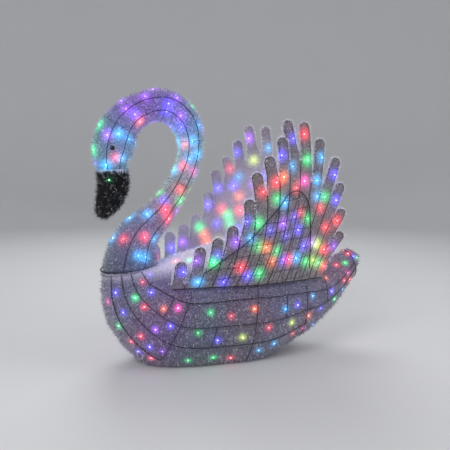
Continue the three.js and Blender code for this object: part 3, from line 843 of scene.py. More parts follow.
class Bulbs:
    """Places, directions and colours of all bulbs in millimetres, and how their light spreads"""

    def __init__(self, settings):
        self.random = np.random.default_rng(settings.seed)
        self.bulbs = []
        self.body_strings(settings.body_spacing / MM, (settings.body_spot, settings.body_haze))
        self.neck_strings(settings.neck_spacing / MM, (settings.neck_spot, settings.neck_haze))
        self.wing_strings(settings.wing_spacing / MM, (settings.wing_spot, settings.wing_haze))
        self.beak_light((settings.body_spot * BEAK_LIGHT["spot"], 0.0))
        columns = [np.array(column) for column in zip(*self.bulbs)]
        self.places, self.facings, self.colours, self.spreads, self.lengths, self.powers = columns

    def hang(self, place, facing, spread, colour, length=BULB_LENGTH):
        """Adds one bulb"""
        power = self.random.uniform(*BULB_POWERS) ** BULB_POWER_CURVE
        self.bulbs.append((place, facing, BULB_COLOURS[colour], spread, length, power))

    def colour(self, shares):
        """The number of the next colour in the uneven order"""
        return self.random.choice(len(BULB_COLOURS), p=np.array(shares) / sum(shares))

    def along(self, path, spacing):
        """Shares of a path's length where its bulbs sit, roughly evenly apart"""
        length = np.linalg.norm(np.diff(path, axis=0), axis=1).sum()
        count = max(int(round(length / spacing)), 1)
        shares = (np.arange(count) + self.random.uniform(0.2, 0.8)) / count
        return np.clip(shares + self.random.uniform(-STRING_SLACK, STRING_SLACK, count) / count, 0, 1)

    def body_strings(self, spacing, spread):
        """Strings that run from the chest to the tail, clear of the floor"""
        for side in SIDES.values():
            for degrees, first, last in BODY_STRINGS:
                rows = np.linspace(first, last, 60)
                for share in self.along(body_point(rows, degrees), spacing):
                    row = np.array(first + (last - first) * share)
                    angle = np.array(side * (degrees + self.random.uniform(-BODY_SWAY, BODY_SWAY)))
                    place = over_body(row, angle, -BODY_INSET - BULB_SINK)
                    if place[2] > FLOOR_CLEARANCE:
                        self.hang(place, body_normal(row, angle), spread, self.colour(EVEN_SHARES))

    def neck_strings(self, spacing, spread):
        """Strings that run up the neck and over the head"""
        rows = np.linspace(0.5, NECK_LAST - 0.6, 100)
        for degrees in NECK_STRING_ANGLES:
            for share in self.along(neck_point(rows, degrees), spacing):
                row = rows[0] + (rows[-1] - rows[0]) * share
                shares = next(shares for last, shares in NECK_SHARES if row <= last)
                angle = degrees + self.random.uniform(-NECK_SWAY, NECK_SWAY)
                place = neck_point(row, angle, -NECK_INSET - BULB_SINK)
                self.hang(place, unit(neck_point(row, angle, 10) - place), spread, self.colour(shares))

    def wing_strings(self, spacing, spread):
        """A string up each feather"""
        for side in SIDES.values():
            mirror = np.array([1, side, 1])
            for index, (grid, _) in enumerate(FEATHER_GRIDS):
                normals = grid_normals(grid)
                for share in self.along(feather_line(index, np.linspace(0.05, 0.95, 20)), spacing):
                    row = int(round((FEATHER_STRING[0] + FEATHER_STRING[1] * share) * FEATHER_ROWS))
                    column = self.random.integers(2, FEATHER_COLUMNS - 1)
                    place, facing = grid[row, column] * mirror, normals[row, column] * mirror
                    self.hang(place, facing, spread, self.colour(EVEN_SHARES), WING_BULB_LENGTH)

    def beak_light(self, spread):
        """The one light at the top of the beak"""
        place = beak_point(BEAK_LIGHT["row"], BEAK_LIGHT["angle"], BEAK_LIGHT["lift"])
        self.hang(place, unit(place * [0, 1, 0]), spread, GREEN)

    def glow(self, points, settings, chosen=slice(None)):
        """The light of the chosen bulbs at points in metres: bright round a bulb, faint further off"""
        result = np.zeros((len(points), 4), np.float32)
        result[:, 3] = 1
        places = (self.places[chosen] * MM).astype(np.float32)
        colours = (self.colours * self.powers[:, None])[chosen].astype(np.float32)
        spots, hazes = self.spreads[chosen].astype(np.float32).T
        for start in range(0, len(points), POINTS_AT_ONCE):
            part = slice(start, start + POINTS_AT_ONCE)
            square = ((points[part][:, None] - places[None]) ** 2).sum(2)
            spot = settings.spot_strength * np.exp(-square / spots**2)
            haze = hazes * np.exp(-np.sqrt(square) / settings.haze_reach)
            result[part, :3] = (spot + haze) @ colours
        return result


def light_up(piece, bulbs, settings, chosen=slice(None)):
    """Stores the bulbs' light on a piece, for its finish to give off"""
    values = bulbs.glow(mesh_array(piece.data, "co", 3), settings, chosen)
    piece.data.attributes.new("glow", "FLOAT_COLOR", "POINT").data.foreach_set("color", values.ravel())


# Finishes

def build_twine_group(name):
    """Tangled strands of twine: a mask of light strands, and the height of the strands"""
    tree, nodes, given, result = new_group(name, "ShaderNodeTree", [
        ("Vector", "Vector"), ("Size", "Float", 95.0), ("Tangle", "Float", 1.2),
    ], [("Mask", "Float"), ("Height", "Float")])
    strands = []
    for share in (1.0, 2.3):
        size = nodes.maths("MULTIPLY", given["Size"], share)
        tangle = nodes.grain(given["Vector"], size, distortion=given["Tangle"])
        strands.append(nodes.ramp(nodes.maths("ABSOLUTE", nodes.maths("SUBTRACT", tangle, 0.5)), 0.09, 0.0))
    both = nodes.maths("MAXIMUM", strands[0], nodes.maths("MULTIPLY", strands[1], 0.8))
    blotch = nodes.grain(given["Vector"], 45.0, 3.0)
    height = nodes.maths("MULTIPLY_ADD", blotch, 0.6, nodes.maths("MULTIPLY", both, 0.7))
    nodes.feed(result["Mask"], nodes.ramp(height, 0.25, 0.95))
    nodes.feed(result["Height"], height)
    return tree


def build_glint_group(name):
    """Scattered glints of foil: a mask of small specks"""
    tree, nodes, given, result = new_group(name, "ShaderNodeTree", [
        ("Vector", "Vector"), ("Size", "Float", 420.0), ("Share", "Float", 0.12),
    ], [("Mask", "Float")])
    cells = nodes.add("ShaderNodeTexVoronoi", {"Vector": given["Vector"], "Scale": given["Size"]}).outputs
    split = nodes.out("ShaderNodeSeparateColor", {0: cells["Color"]})
    chosen = nodes.maths("LESS_THAN", split, given["Share"])
    nodes.feed(result["Mask"], nodes.maths("MULTIPLY", chosen, nodes.ramp(cells["Distance"], 0.45, 0.2)))
    return tree


class Finish(Nodes):
    """A new material's nodes, with its Principled shader and Object coordinates"""

    def __init__(self, name, **values):
        self.material = bpy.data.materials.new(name)
        self.material.use_nodes = True
        self.material.cycles.emission_sampling = "NONE"
        super().__init__(self.material.node_tree)
        self.shader = self.tree.nodes["Principled BSDF"]
        self.place = self.add("ShaderNodeTexCoord").outputs["Object"]
        self.set(**values)

    def set(self, **values):
        """Sets the shader's inputs to constants or to other nodes' outputs"""
        for socket, value in values.items():
            self.feed(self.shader.inputs[socket.replace("_", " ")], value)

    def painted(self, name, output="Fac"):
        """A value or a colour stored on the piece"""
        return self.add("ShaderNodeAttribute", attribute_name=name).outputs[output]

    def group(self, name, build, **values):
        """The outputs of a shared node group"""
        feeds = {"Vector": self.place, **values}
        return self.add("ShaderNodeGroup", feeds, node_tree=tree_for(name, build)).outputs

    def relief(self, height, strength, distance):
        """Bumps on the surface"""
        self.set(Normal=self.out("ShaderNodeBump", {
            "Height": height, "Strength": strength, "Distance": distance}))


def opaque(colour, scale=1.0):
    """A colour with full alpha"""
    return (*(min(channel * scale, 1.0) for channel in colour), 1.0)


def material_for(name, build, *values, **settings):
    """A material that is made the first time it is asked for"""
    return bpy.data.materials.get(name) or build(name, *values, **settings)


def cover_material(name, colour, dark, glow_gain, inner=None):
    """Fuzzy twine that glints and carries the light of the bulbs"""
    finish = Finish(
        name, Roughness=0.8, Sheen_Weight=0.9, Sheen_Roughness=0.35, Emission_Strength=glow_gain)
    twine = finish.group("Twine strands", build_twine_group)
    glint = finish.group("Foil glints", build_glint_group)["Mask"]
    base = finish.mix(twine["Mask"], opaque(colour, dark), opaque(colour, STRAND_LIGHT))
    # The pale inner colour is painted light of the bulbs, laid where the piece's inner value says
    if inner:
        pale = finish.mix(twine["Mask"], *(opaque(inner, scale) for scale in LIT_FACE_TONES))
        base = finish.mix(finish.painted("inner"), base, pale)
    gain = finish.ramp(twine["Mask"], 0, 1, *STRAND_GLOW)
    finish.set(
        Base_Color=finish.mix(glint, base, GLINT),
        Roughness=finish.ramp(glint, 0, 1, 0.82, 0.22),
        Emission_Color=finish.scaled(finish.painted("glow", "Color"), gain))
    finish.relief(twine["Height"], 0.7, 0.002)
    return finish.material


def tuft_material(name, colour, dark, glow_gain, white_from=0.5, white=1.1):
    """Loose strands: most are matt, in painted shade, and those above a share glint white like foil"""
    finish = Finish(
        name, Roughness=0.4, Sheen_Weight=0.5, Sheen_Roughness=0.4, Emission_Strength=glow_gain)
    strand = finish.maths("MULTIPLY", finish.painted("shade"), 0.75)
    mixed = finish.maths("MULTIPLY_ADD", finish.grain(finish.place, 300.0), 0.5, strand)
    share = finish.ramp(mixed, white_from, 1.0)
    # Most strands are dark copies of the white twine colour, in painted shade
    finish.set(
        Base_Color=finish.mix(share, opaque(colour, dark), opaque(colour, white)),
        Roughness=finish.ramp(share, 0, 1, 0.75, 0.25),
        Emission_Color=finish.painted("glow", "Color"))
    return finish.material


def wire_material(name, colour):
    """Dark painted wire with a few rubbed places"""
    finish = Finish(name, Metallic=0.35, Roughness=0.45)
    rub = finish.grain(finish.place, 240.0, 3.0)
    finish.set(
        Base_Color=finish.mix(finish.ramp(rub, 0.52, 0.72), opaque(colour), opaque(colour, 3.0)),
        Roughness=finish.ramp(rub, 0.3, 0.7, 0.55, 0.32))
    finish.relief(rub, 0.3, 0.0005)
    return finish.material


def beak_material(name, colour, silver, whole_strands):
    """Black tinsel with silver glints: specks, or whole strands"""
    finish = Finish(name, Roughness=0.5, Specular_IOR_Level=0.25, Emission_Strength=0.35)
    if whole_strands:
        mask = finish.ramp(finish.painted("shade"), 1 - silver, 1 - silver * 0.8)
    else:
        mask = finish.group("Foil glints", build_glint_group, Size=300.0, Share=silver)["Mask"]
    twine = finish.group("Twine strands", build_twine_group, Size=120.0)
    dark = finish.mix(twine["Mask"], opaque(colour, 0.5), opaque(colour, 2.5))
    finish.set(
        Base_Color=finish.mix(mask, dark, SILVER), Metallic=mask,
        Roughness=finish.ramp(mask, 0, 1, 0.55, 0.25),
        Emission_Color=finish.painted("glow", "Color"))
    finish.relief(twine["Height"], 0.8, 0.002)
    return finish.material


def bulb_material():
    """Clear bulbs with a bright core in their own colour"""
    finish = Finish("Lit bulb", Roughness=0.12, Coat_Weight=0.6, Coat_Roughness=0.05, Emission_Strength=2.6)
    colour = finish.painted("bulb", "Color")
    power = finish.painted("power")
    haze = finish.ramp(finish.grain(finish.place, 900.0), 0.3, 0.7, 0.3, 0.6)
    lit = finish.mix(finish.maths("MULTIPLY", haze, power), colour, WHITE)
    finish.set(Base_Color=finish.mix(0.5, colour, WHITE), Emission_Color=finish.scaled(lit, power))
    return finish.material


def eye_material():
    """Glossy black with faint moulding marks"""
    finish = Finish(
        "Gloss black eye", Roughness=0.12, Specular_IOR_Level=0.35, Coat_Weight=0.25, Coat_Roughness=0.03)
    marks = finish.grain(finish.place, 500.0, 3.0)
    finish.set(
        Base_Color=finish.mix(marks, (0.004, 0.004, 0.006, 1), (0.012, 0.012, 0.016, 1)),
        Roughness=finish.ramp(marks, 0.3, 0.7, 0.07, 0.16))
    return finish.material


def floor_material():
    """Plain pale floor with a hardly visible grain"""
    finish = Finish("Pale studio floor", Roughness=0.55)
    grain = finish.grain(finish.place, 3.0, 5.0)
    finish.set(Base_Color=finish.mix(grain, (0.68, 0.68, 0.69, 1), (0.71, 0.71, 0.72, 1)))
    return finish.material


def fringe_material(colours):
    """Twine ends of a fringe, nearly all of them white"""
    return material_for("Fringe twine", tuft_material, colours.tuft, 0.8, 0.5)


def dark_wire(scene):
    """The finish of every frame wire"""
    return material_for("Dark frame wire", wire_material, scene.swan_colours.wire)


# Pieces

def add_tufts(
        name, cover, slot, bulbs, scene, seed, material, density=1.0, length=1.0, width=1.0, lean=0.35):
    """Tufts over a cover, as a piece of their own"""
    sizes = scene.swan_sizes
    tufts = run_tree(name, cover, tree_for("Tufts on a cover", build_tuft_tree), {
        "Density": sizes.tuft_density * density, "Length": sizes.tuft_length * length,
        "Width": sizes.tuft_width * width, "Lean": lean, "Seed": seed, "Material": material})
    keep_off_floor(tufts.data)
    light_up(tufts, bulbs, scene.swan_lights, BEAK_ONLY if slot == "beak" else slice(None))
    return finish_piece(tufts)


def add_skin(name, points, faces, lumps, material, size=0.016):
    """A cover's bumpy skin in its finish, and where its points are in metres"""
    mesh = make_mesh(name, points, faces)
    add_lumps(mesh, lumps, size)
    mesh.materials.append(material)
    return add_object(name, mesh), mesh_array(mesh, "co", 3)


def wire_piece(scene, name, chains, replaced):
    """Wires along chains of points. A chain is its points, its thickness and whether it closes."""
    points, edges, thickness = [], [], []
    for path, thick, closed in chains:
        start = len(points)
        points.extend((np.asarray(path) * MM).tolist())
        edges.extend((i, i + 1) for i in range(start, len(points) - 1))
        if closed:
            edges.append((len(points) - 1, start))
        thickness.extend(np.broadcast_to(thick, len(path)))
    mesh = bpy.data.meshes.new(name + " paths")
    mesh.from_pydata(points, edges, [])
    set_point_value(mesh, "thickness", thickness)
    carrier = add_object(name + " paths", mesh)
    wires = run_tree(name, carrier, tree_for("Round wires", build_wire_tree), {
        "Radius": scene.swan_sizes.wire_radius, "Sides": 6, "Material": dark_wire(scene)})
    bpy.data.objects.remove(carrier)
    finish_piece(wires, [replaced])


def fade(values, end, run):
    """0 beyond the end and 1 from a run before it. With a negative run it is the other way round."""
    return np.clip((end - values) / run, 0, 1)


def lit_deck_share(points):
    """Painted light of the bulbs: 1 on the pale deck behind the neck, fading out towards the wings and the
    tail
    """
    x, y, z = points.T
    return fade(np.abs(y), *DECK_SIDES) * fade(x, *DECK_BACK) * fade(z, *DECK_BOTTOM)


def clear_of_ring(points):
    """0 close to the ring between neck and body, where no tufts stand, and 1 elsewhere"""
    x, y, z = points.T / MM
    height = (z - JOINT_Z) * math.cos(JOINT_TILT) - (x - JOINT_X) * math.sin(JOINT_TILT)
    close = np.abs(height - JOINT_RING["height"]) < JOINT_RING["clear"]
    return np.where(close & (x < JOINT_X + JOINT_RADIUS + JOINT_RING["behind"]), 0.0, 1.0)


def body_tuft_share(points):
    """Where tufts stand on the body: in clumps, and not on the floor, the deck or the joint ring"""
    share = clumps(points) * (1 - lit_deck_share(points)) * clear_of_ring(points)
    return np.where(points[:, 2] < FLOOR_BARE, 0.0, share)


def lit_deck_tuft_share(points):
    """Where the white tufts on the pale deck's painted light stand"""
    return clumps(points) * lit_deck_share(points) * clear_of_ring(points)


def neck_tuft_share(points):
    """Where tufts stand on the neck: in clumps, and thickest round the rim over the beak"""
    x, y, z = points.T
    rim = (x < BEAK_RIM["back"]) & (z > BEAK_RIM["low"]) & (z < BEAK_RIM["high"])
    from_eye = np.hypot(x - EYE["x"] * MM, z - EYE["z"] * MM)
    share = clumps(points) * np.where(rim, BEAK_RIM["gain"], 1.0) * clear_of_ring(points)
    return np.where(from_eye < EYE_BARE, 0.0, share)


def make_body(scene):
    """The body cover and its tufts"""
    rows = np.linspace(0, len(BODY_SECTIONS) - 1, BODY_ROWS + 1)
    angles = np.linspace(0, 360, BODY_COLUMNS, endpoint=False)
    outline = body_point(rows[:, None], angles[None])
    rings = over_body(rows[:, None], angles[None], -BODY_INSET)
    rings[..., 2] = np.where(outline[..., 2] < 1, outline[..., 2], rings[..., 2])
    centre = rings[-1].mean(0)
    along = unit(centre - rings[-TAIL_CAP["from"]].mean(0)) * TAIL_CAP["height"]
    turns = np.radians(TAIL_CAP["angles"])
    cap = [centre + (rings[-1] - centre) * math.cos(a) + along * math.sin(a) for a in turns]
    colours = scene.swan_colours
    # The pale deck is painted light of the bulbs, kept in the body's inner value
    deck = [DECK_PAINTED_LIGHT * tone for tone in colours.inner]
    twine = cover_material("Twine cover", colours.cover, 0.42, 0.9, inner=deck)
    skin = loft(np.concatenate([rings, cap]))
    body, places = add_skin("body_twine", *skin, scene.swan_sizes.lump, twine)
    set_point_value(body.data, "tuft", body_tuft_share(places))
    set_point_value(body.data, "inner", lit_deck_share(places))
    bulbs = Bulbs(scene.swan_lights)
    loose = tuft_material("Loose twine of the body", colours.tuft, 0.20, 0.8, white_from=0.64, white=0.85)
    add_tufts("body_tufts", body, "cover", bulbs, scene, 3, loose)
    lit_deck_tufts = lit_deck_tuft_share(places).astype(np.float32)
    body.data.attributes["tuft"].data.foreach_set("value", lit_deck_tufts)
    white = fringe_material(colours)
    add_tufts("lit_deck_tufts", body, "cover", bulbs, scene, 4, white, density=2.5, length=0.8)
    light_up(body, bulbs, scene.swan_lights)
    finish_piece(body, ["body_cover"])


def head_rim():
    """A flat ring under the head that the fringe over the beak hangs from"""
    circle = np.linspace(0, 360, NECK_COLUMNS, endpoint=False)
    rings = [neck_point(NECK_LAST, circle, -HEAD_FRINGE[edge]) for edge in ("inner", "outer")]
    count = len(circle)
    faces = [(i, (i + 1) % count, (i + 1) % count + count, i + count) for i in range(count)]
    mesh = make_mesh("head rim", np.concatenate(rings) + [0, 0, HEAD_FRINGE["height"]], faces)
    if mesh.polygons[0].normal.z > 0:
        mesh.flip_normals()
    set_point_value(mesh, "tuft", np.ones(len(mesh.vertices)))
    return add_object("head rim", mesh)


def make_neck(scene):
    """The neck and head cover and its tufts"""
    rows = np.linspace(0, NECK_LAST, NECK_ROWS + 1)
    angles = np.linspace(0, 360, NECK_COLUMNS, endpoint=False)
    colours = scene.swan_colours
    # The neck's darker twine is painted shade
    twine = cover_material("Neck twine", [NECK_PAINTED_SHADE * tone for tone in colours.cover], 0.55, 1.0)
    skin = loft(neck_point(rows[:, None], angles[None], -NECK_INSET))
    neck, places = add_skin("neck_twine", *skin, scene.swan_sizes.lump, twine)
    set_point_value(neck.data, "tuft", neck_tuft_share(places))
    bulbs = Bulbs(scene.swan_lights)
    # Its tufts are darker still, with more painted shade
    loose = tuft_material("Loose twine of the neck", colours.tuft, 0.10, 0.9, white_from=0.66, white=0.75)
    add_tufts("neck_tufts", neck, "cover", bulbs, scene, 5, loose, density=1.7)
    ribbon = head_rim()
    rough = tuft_material("Head fringe twine", colours.tuft, 0.35, 0.7, white=0.9)
    add_tufts("head_fringe", ribbon, "cover", bulbs, scene, 31, rough, density=6, length=1.4, lean=0.9)
    bpy.data.objects.remove(ribbon)
    light_up(neck, bulbs, scene.swan_lights)
    finish_piece(neck, ["neck_cover"])


def wing_sheet():
    """The right wing's mid surface: merged points, four-sided faces and half thickness"""
    points = np.concatenate([grid.reshape(-1, 3) for grid, _ in FEATHER_GRIDS])
    thick = np.concatenate([half.ravel() for _, half in FEATHER_GRIDS])
    rows, columns = FEATHER_GRIDS[0][0].shape[:2]
    corners = [
        (feather * rows + row) * columns + i
        for feather in range(len(FEATHERS)) for row in range(rows - 1) for i in range(columns - 1)]
    _, first, inverse = np.unique(np.round(points, 2), axis=0, return_index=True, return_inverse=True)
    inverse = inverse.ravel()
    merged = [tuple(dict.fromkeys(inverse[[a, a + 1, a + columns + 1, a + columns]])) for a in corners]
    return points[first], [face for face in merged if len(face) > 2], thick[first]


def thickened(points, faces, half):
    """Gives a sheet its thickness: an outer and an inner skin and a rim along the open edges"""
    normals = np.zeros_like(points)
    for face in faces:
        normal = np.cross(points[face[1]] - points[face[0]], points[face[2]] - points[face[0]])
        normals[list(face)] += normal
    normals = unit(normals)
    normals *= np.where(normals[:, 1:2] < 0, -1, 1)
    count = len(points)
    edges = set()
    for face in faces:
        edges.update(zip(face, face[1:] + face[:1]))
    rim = [(a, b, b + count, a + count) for a, b in sorted(edges) if (b, a) not in edges]
    outer = [tuple(reversed(face)) for face in faces]
    inner = [tuple(corner + count for corner in face) for face in faces]
    skins = np.vstack([points + normals * half[:, None], points - normals * half[:, None]])
    return skins, outer + inner + rim


WING_SHEET = wing_sheet()


def inner_painted_light_share(points, count):
    """Painted light of the bulbs: 1 on the wing's inner face, less towards the tips, and 0 on its outer
    face
    """
    low = fade(points[:, 2], *INNER_LIGHT_FADE)
    return np.where(np.arange(len(points)) >= count, INNER_TIP_LIGHT + (1 - INNER_TIP_LIGHT) * low, 0.0)


def edge_share(points, edge):
    """1 at the open edges of a wing's feathers, fading out across the fringe's band"""
    reach = np.array([np.sqrt(((edge - point) ** 2).sum(1).min()) for point in points])
    return np.clip((FRINGE_BAND - reach) / FRINGE_FADE + 1, 0, 1)


def make_wing(scene, side_name):
    """One wing's cover, its tufts and the fringe round its feathers"""
    side = SIDES[side_name]
    points, faces = thickened(*WING_SHEET)
    count = len(WING_SHEET[0])
    points = points * [1, side, 1]
    faces = outward(points, faces)
    colours = scene.swan_colours
    # Its dark outer face is painted shade, and its pale inner face painted light of the bulbs
    twine = material_for("Wing twine", cover_material, colours.net, 0.6, 1.0, inner=colours.inner)
    lumps = scene.swan_sizes.lump * WING_LUMPS
    wing, places = add_skin(f"wing_{side_name}_twine", points, faces, lumps, twine, size=0.012)
    set_point_value(wing.data, "inner", inner_painted_light_share(places, count))
    bare = places[:, 2] < WING_BARE
    shares = np.where(bare, 0.0, clumps(places))
    set_point_value(wing.data, "tuft", shares)
    bulbs = Bulbs(scene.swan_lights)
    loose = material_for("Loose twine of the wings", tuft_material, colours.tuft, 0.4, 0.8)
    name = f"wing_{side_name}_tufts"
    add_tufts(name, wing, "wing", bulbs, scene, 8 + side, loose, density=0.25, length=0.5)
    rim = sorted({
        corner for face in faces if len({point % count for point in face}) == 2 for corner in face})
    band = edge_share(points, points[rim])
    ribbon_mesh = make_mesh("feather edges", points, [face for face in faces if band[list(face)].max() > 0])
    set_point_value(ribbon_mesh, "tuft", band * np.where(bare, 0, np.maximum(shares, 0.5)))
    ribbon = add_object("feather edges", ribbon_mesh)
    add_tufts(f"wing_{side_name}_fringe", ribbon, "wing", bulbs, scene, 14 + side, fringe_material(colours),
              density=9, length=0.75, width=1.15, lean=0.7)
    bpy.data.objects.remove(ribbon)
    light_up(wing, bulbs, scene.swan_lights)
    finish_piece(wing, [f"wing_{side_name}"])


def outer_face_finder():
    """A function that gives the point over the right wing's outer side at x and z"""
    points, faces, _ = WING_SHEET
    tree = BVHTree.FromPolygons([Vector(p) for p in points], faces)

    def find(x, z, lift):
        place, normal, _, _ = tree.ray_cast(Vector((x, 400, z)), Vector((0, -1, 0)))
        if place is None:
            place, normal, _, _ = tree.find_nearest(Vector((x, 200, z)))
        normal = normal if normal.y > 0 else -normal
        return np.array(place + normal * lift)

    return find


def feather_outline(index):
    """The wire round one feather, up one edge and down the other, with its thickness along the way"""
    grid, _ = FEATHER_GRIDS[index]
    tip = np.tile(grid[-TIP_ROWS - 1].mean(0), (TIP_ROWS, 1))
    middle = np.vstack([grid[:-TIP_ROWS].mean(1), tip])[:, None]
    free = eased((np.arange(len(grid)) / FEATHER_ROWS - SPLITS[min(index, len(SPLITS) - 1)]) / NOTCH)
    tall = index >= THIN_OUTLINE_FROM
    tip_inset = THIN_OUTLINE_INSET if tall else OUTLINE_INSET
    inset = JOINED_OUTLINE_INSET + (tip_inset - JOINED_OUTLINE_INSET) * free[:, None, None]
    wire = middle + (grid - middle) * inset + grid_normals(grid) * OUTLINE_LIFT
    rows = np.concatenate([np.arange(0, FEATHER_ROWS, 3), np.arange(FEATHER_ROWS, len(grid))])
    full = THIN_OUTLINE if tall else 1.0
    thick = THIN_OUTLINE + (full - THIN_OUTLINE) * eased((rows / FEATHER_ROWS - 0.4) / 0.25)
    return np.concatenate([wire[rows, 0], wire[rows, -1][::-1]]), np.concatenate([thick, thick[::-1]])


def base_wire():
    """The wire along the wing's base line, on the outer face"""
    return np.concatenate([
        grid[0, 1::2] + grid_normals(grid)[0, 1::2] * WING_WIRE_LIFTS["base"] for grid, _ in FEATHER_GRIDS])


def inside(outline, x, z):
    """Whether a point lies inside a closed outline"""
    crossings = 0
    for (x0, z0), (x1, z1) in zip(outline, np.roll(outline, -1, axis=0)):
        if (z0 > z) != (z1 > z) and x < x0 + (z - z0) * (x1 - x0) / (z1 - z0):
            crossings += 1
    return crossings % 2 == 1


def net_threads(find, spacing):
    """Threads of the net between the brace and the base line"""
    outline = smooth(BRACE_POINTS, np.linspace(0, len(BRACE_POINTS) - 1, 80), slice(0, 2))
    foot = WING_Z + NET["foot"]
    outline = np.vstack([outline, [BRACE_POINTS[-1][0], foot], [BRACE_POINTS[0][0], foot]])
    threads = []
    low = outline.min(0)
    high = outline.max(0)
    reach = np.hypot(*(high - low))
    for lean in NET["leans"]:
        along = np.array([math.cos(lean), math.sin(lean)])
        across = np.array([-along[1], along[0]])
        for offset in np.arange(-reach, reach, spacing):
            run = []
            for step in np.arange(-reach, reach, NET["step"]):
                x, z = (low + high) / 2 + across * offset + along * step
                if inside(outline, x, z):
                    sway = NET["sway"] * noise.noise(Vector((x * 0.02, z * 0.02, lean)))
                    run.append(find(x + across[0] * sway, z + across[1] * sway, WING_WIRE_LIFTS["net"]))
                    continue
                if len(run) > 1:
                    threads.append(np.array(run))
                run = []
    return threads


def make_wing_wires(scene, side_name):
    """Feather outlines, base wire, brace and net on one wing's outer face"""
    sizes = scene.swan_sizes
    mirror = [1, SIDES[side_name], 1]
    find = outer_face_finder()
    outline_share = sizes.outline_radius / sizes.wire_radius
    net_share = sizes.net_radius / sizes.wire_radius
    chains = []
    for index in range(len(FEATHERS)):
        path, thick = feather_outline(index)
        chains.append((path * mirror, outline_share * thick, False))
    chains.append((base_wire() * mirror, 1.0, False))
    brace = smooth(BRACE_POINTS, np.linspace(0, len(BRACE_POINTS) - 1, 90), slice(0, 2))
    path = np.array([find(x, z, WING_WIRE_LIFTS["brace"]) for x, z in brace])
    chains.append((path * mirror, THICKNESS["brace"], False))
    threads = net_threads(find, sizes.net_spacing / MM)
    chains += [(thread * mirror, net_share, False) for thread in threads]
    wire_piece(scene, f"wing_{side_name}_wires", chains, f"wing_brace_{side_name}")


def make_body_wires(scene):
    """Hoops, ribs and lengthwise wires over the body cover"""
    hoop_row, hoop_angle = FRONT_HOOP
    chains = []
    for side in SIDES.values():
        for degrees, end in BODY_WIRES:
            rows = np.linspace(hoop_row, end, 110)
            chains.append((body_point(rows, side * degrees), 1.0, False))
        for row, start, end in BODY_RIBS:
            angles = np.linspace(start, end, 30)
            chains.append((body_point(row, side * angles), THICKNESS["rib"], False))
    front = np.linspace(hoop_angle, 360 - hoop_angle, 60)
    chains.append((body_point(hoop_row, front), THICKNESS["front hoop"], False))
    tail = np.linspace(0, 360, 60, endpoint=False)
    chains.append((body_point(TAIL_HOOP_ROW, tail), 1.0, True))
    wire_piece(scene, "body_wires", chains, "body_frame")


def make_neck_wires(scene):
    """Hoops and lengthwise wires over the neck, and the thick ring where it meets the body"""
    circle = np.linspace(0, 360, 48, endpoint=False)
    rows = np.linspace(0.2, NECK_LAST, 200)
    chains = [
        (neck_point(rows, degrees, NECK_WIRE_LIFT), THICKNESS["neck wire"], False)
        for degrees in NECK_WIRE_ANGLES]
    chains += [
        (neck_point(row, circle, NECK_WIRE_LIFT), THICKNESS["neck hoop"], True) for row in NECK_HOOP_ROWS]
    ring = neck_point(JOINT_RING["height"] / JOINT_RING["row"], circle, JOINT_RING["lift"])
    front = eased((np.cos(np.radians(circle + 180)) + 0.1) / 0.6)
    thick = JOINT_RING["thin"] + (1 - JOINT_RING["thin"]) * front
    chains.append((ring, thick * JOINT_RING["radius"] / (scene.swan_sizes.wire_radius / MM), True))
    wire_piece(scene, "neck_wires", chains, "neck_frame")


def make_beak(scene):
    """The beak's core shape and its tinsel strands"""
    rows = np.linspace(0, len(BEAK_POINTS) - 1, BEAK_ROWS + 1)
    angles = np.linspace(0, 360, BEAK_COLUMNS, endpoint=False)
    black = scene.swan_colours.beak
    tinsel = beak_material("Black tinsel", black, 0.04, False)
    skin = loft(beak_point(rows[:, None], angles[None]))
    beak, places = add_skin("beak_core", *skin, scene.swan_sizes.lump * BEAK_LUMPS, tinsel, size=0.012)
    set_point_value(beak.data, "tuft", np.ones(len(places)))
    bulbs = Bulbs(scene.swan_lights)
    strands = beak_material("Black tinsel strands", black, 0.07, True)
    add_tufts("beak_tinsel", beak, "beak", bulbs, scene, 21, strands,
              density=3.0, length=1.3, width=0.75, lean=0.9)
    light_up(beak, bulbs, scene.swan_lights, BEAK_ONLY)
    finish_piece(beak, ["beak"])


def make_eyes(scene):
    """Two glossy black domes in place of the eyes"""
    material = eye_material()
    climb = np.radians(np.linspace(0, 84, 9))
    around = np.linspace(0, math.tau, 32, endpoint=False)[None]
    radius = EYE["radius"] * np.concatenate([[0.9, 1.0], np.cos(climb[1:])])[:, None]
    foot = -NECK_INSET - EYE["root"]
    out = np.concatenate([[foot, 0], EYE["depth"] * np.sin(climb[1:])])[:, None] + 0 * around
    across = radius * np.cos(around)
    up = radius * np.sin(around)
    x = across * math.cos(EYE["turn"]) - out * math.sin(EYE["turn"])
    y = across * math.sin(EYE["turn"]) + out * math.cos(EYE["turn"])
    for side_name, side in SIDES.items():
        dome = np.stack([EYE["x"] + x, side * (EYE["reach"] + y), EYE["z"] + up], axis=-1)
        mesh = make_mesh(f"eye_{side_name}_dome", *loft(dome))
        mesh.materials.append(material)
        finish_piece(add_object(f"eye_{side_name}_dome", mesh), [f"eye_{side_name}"])


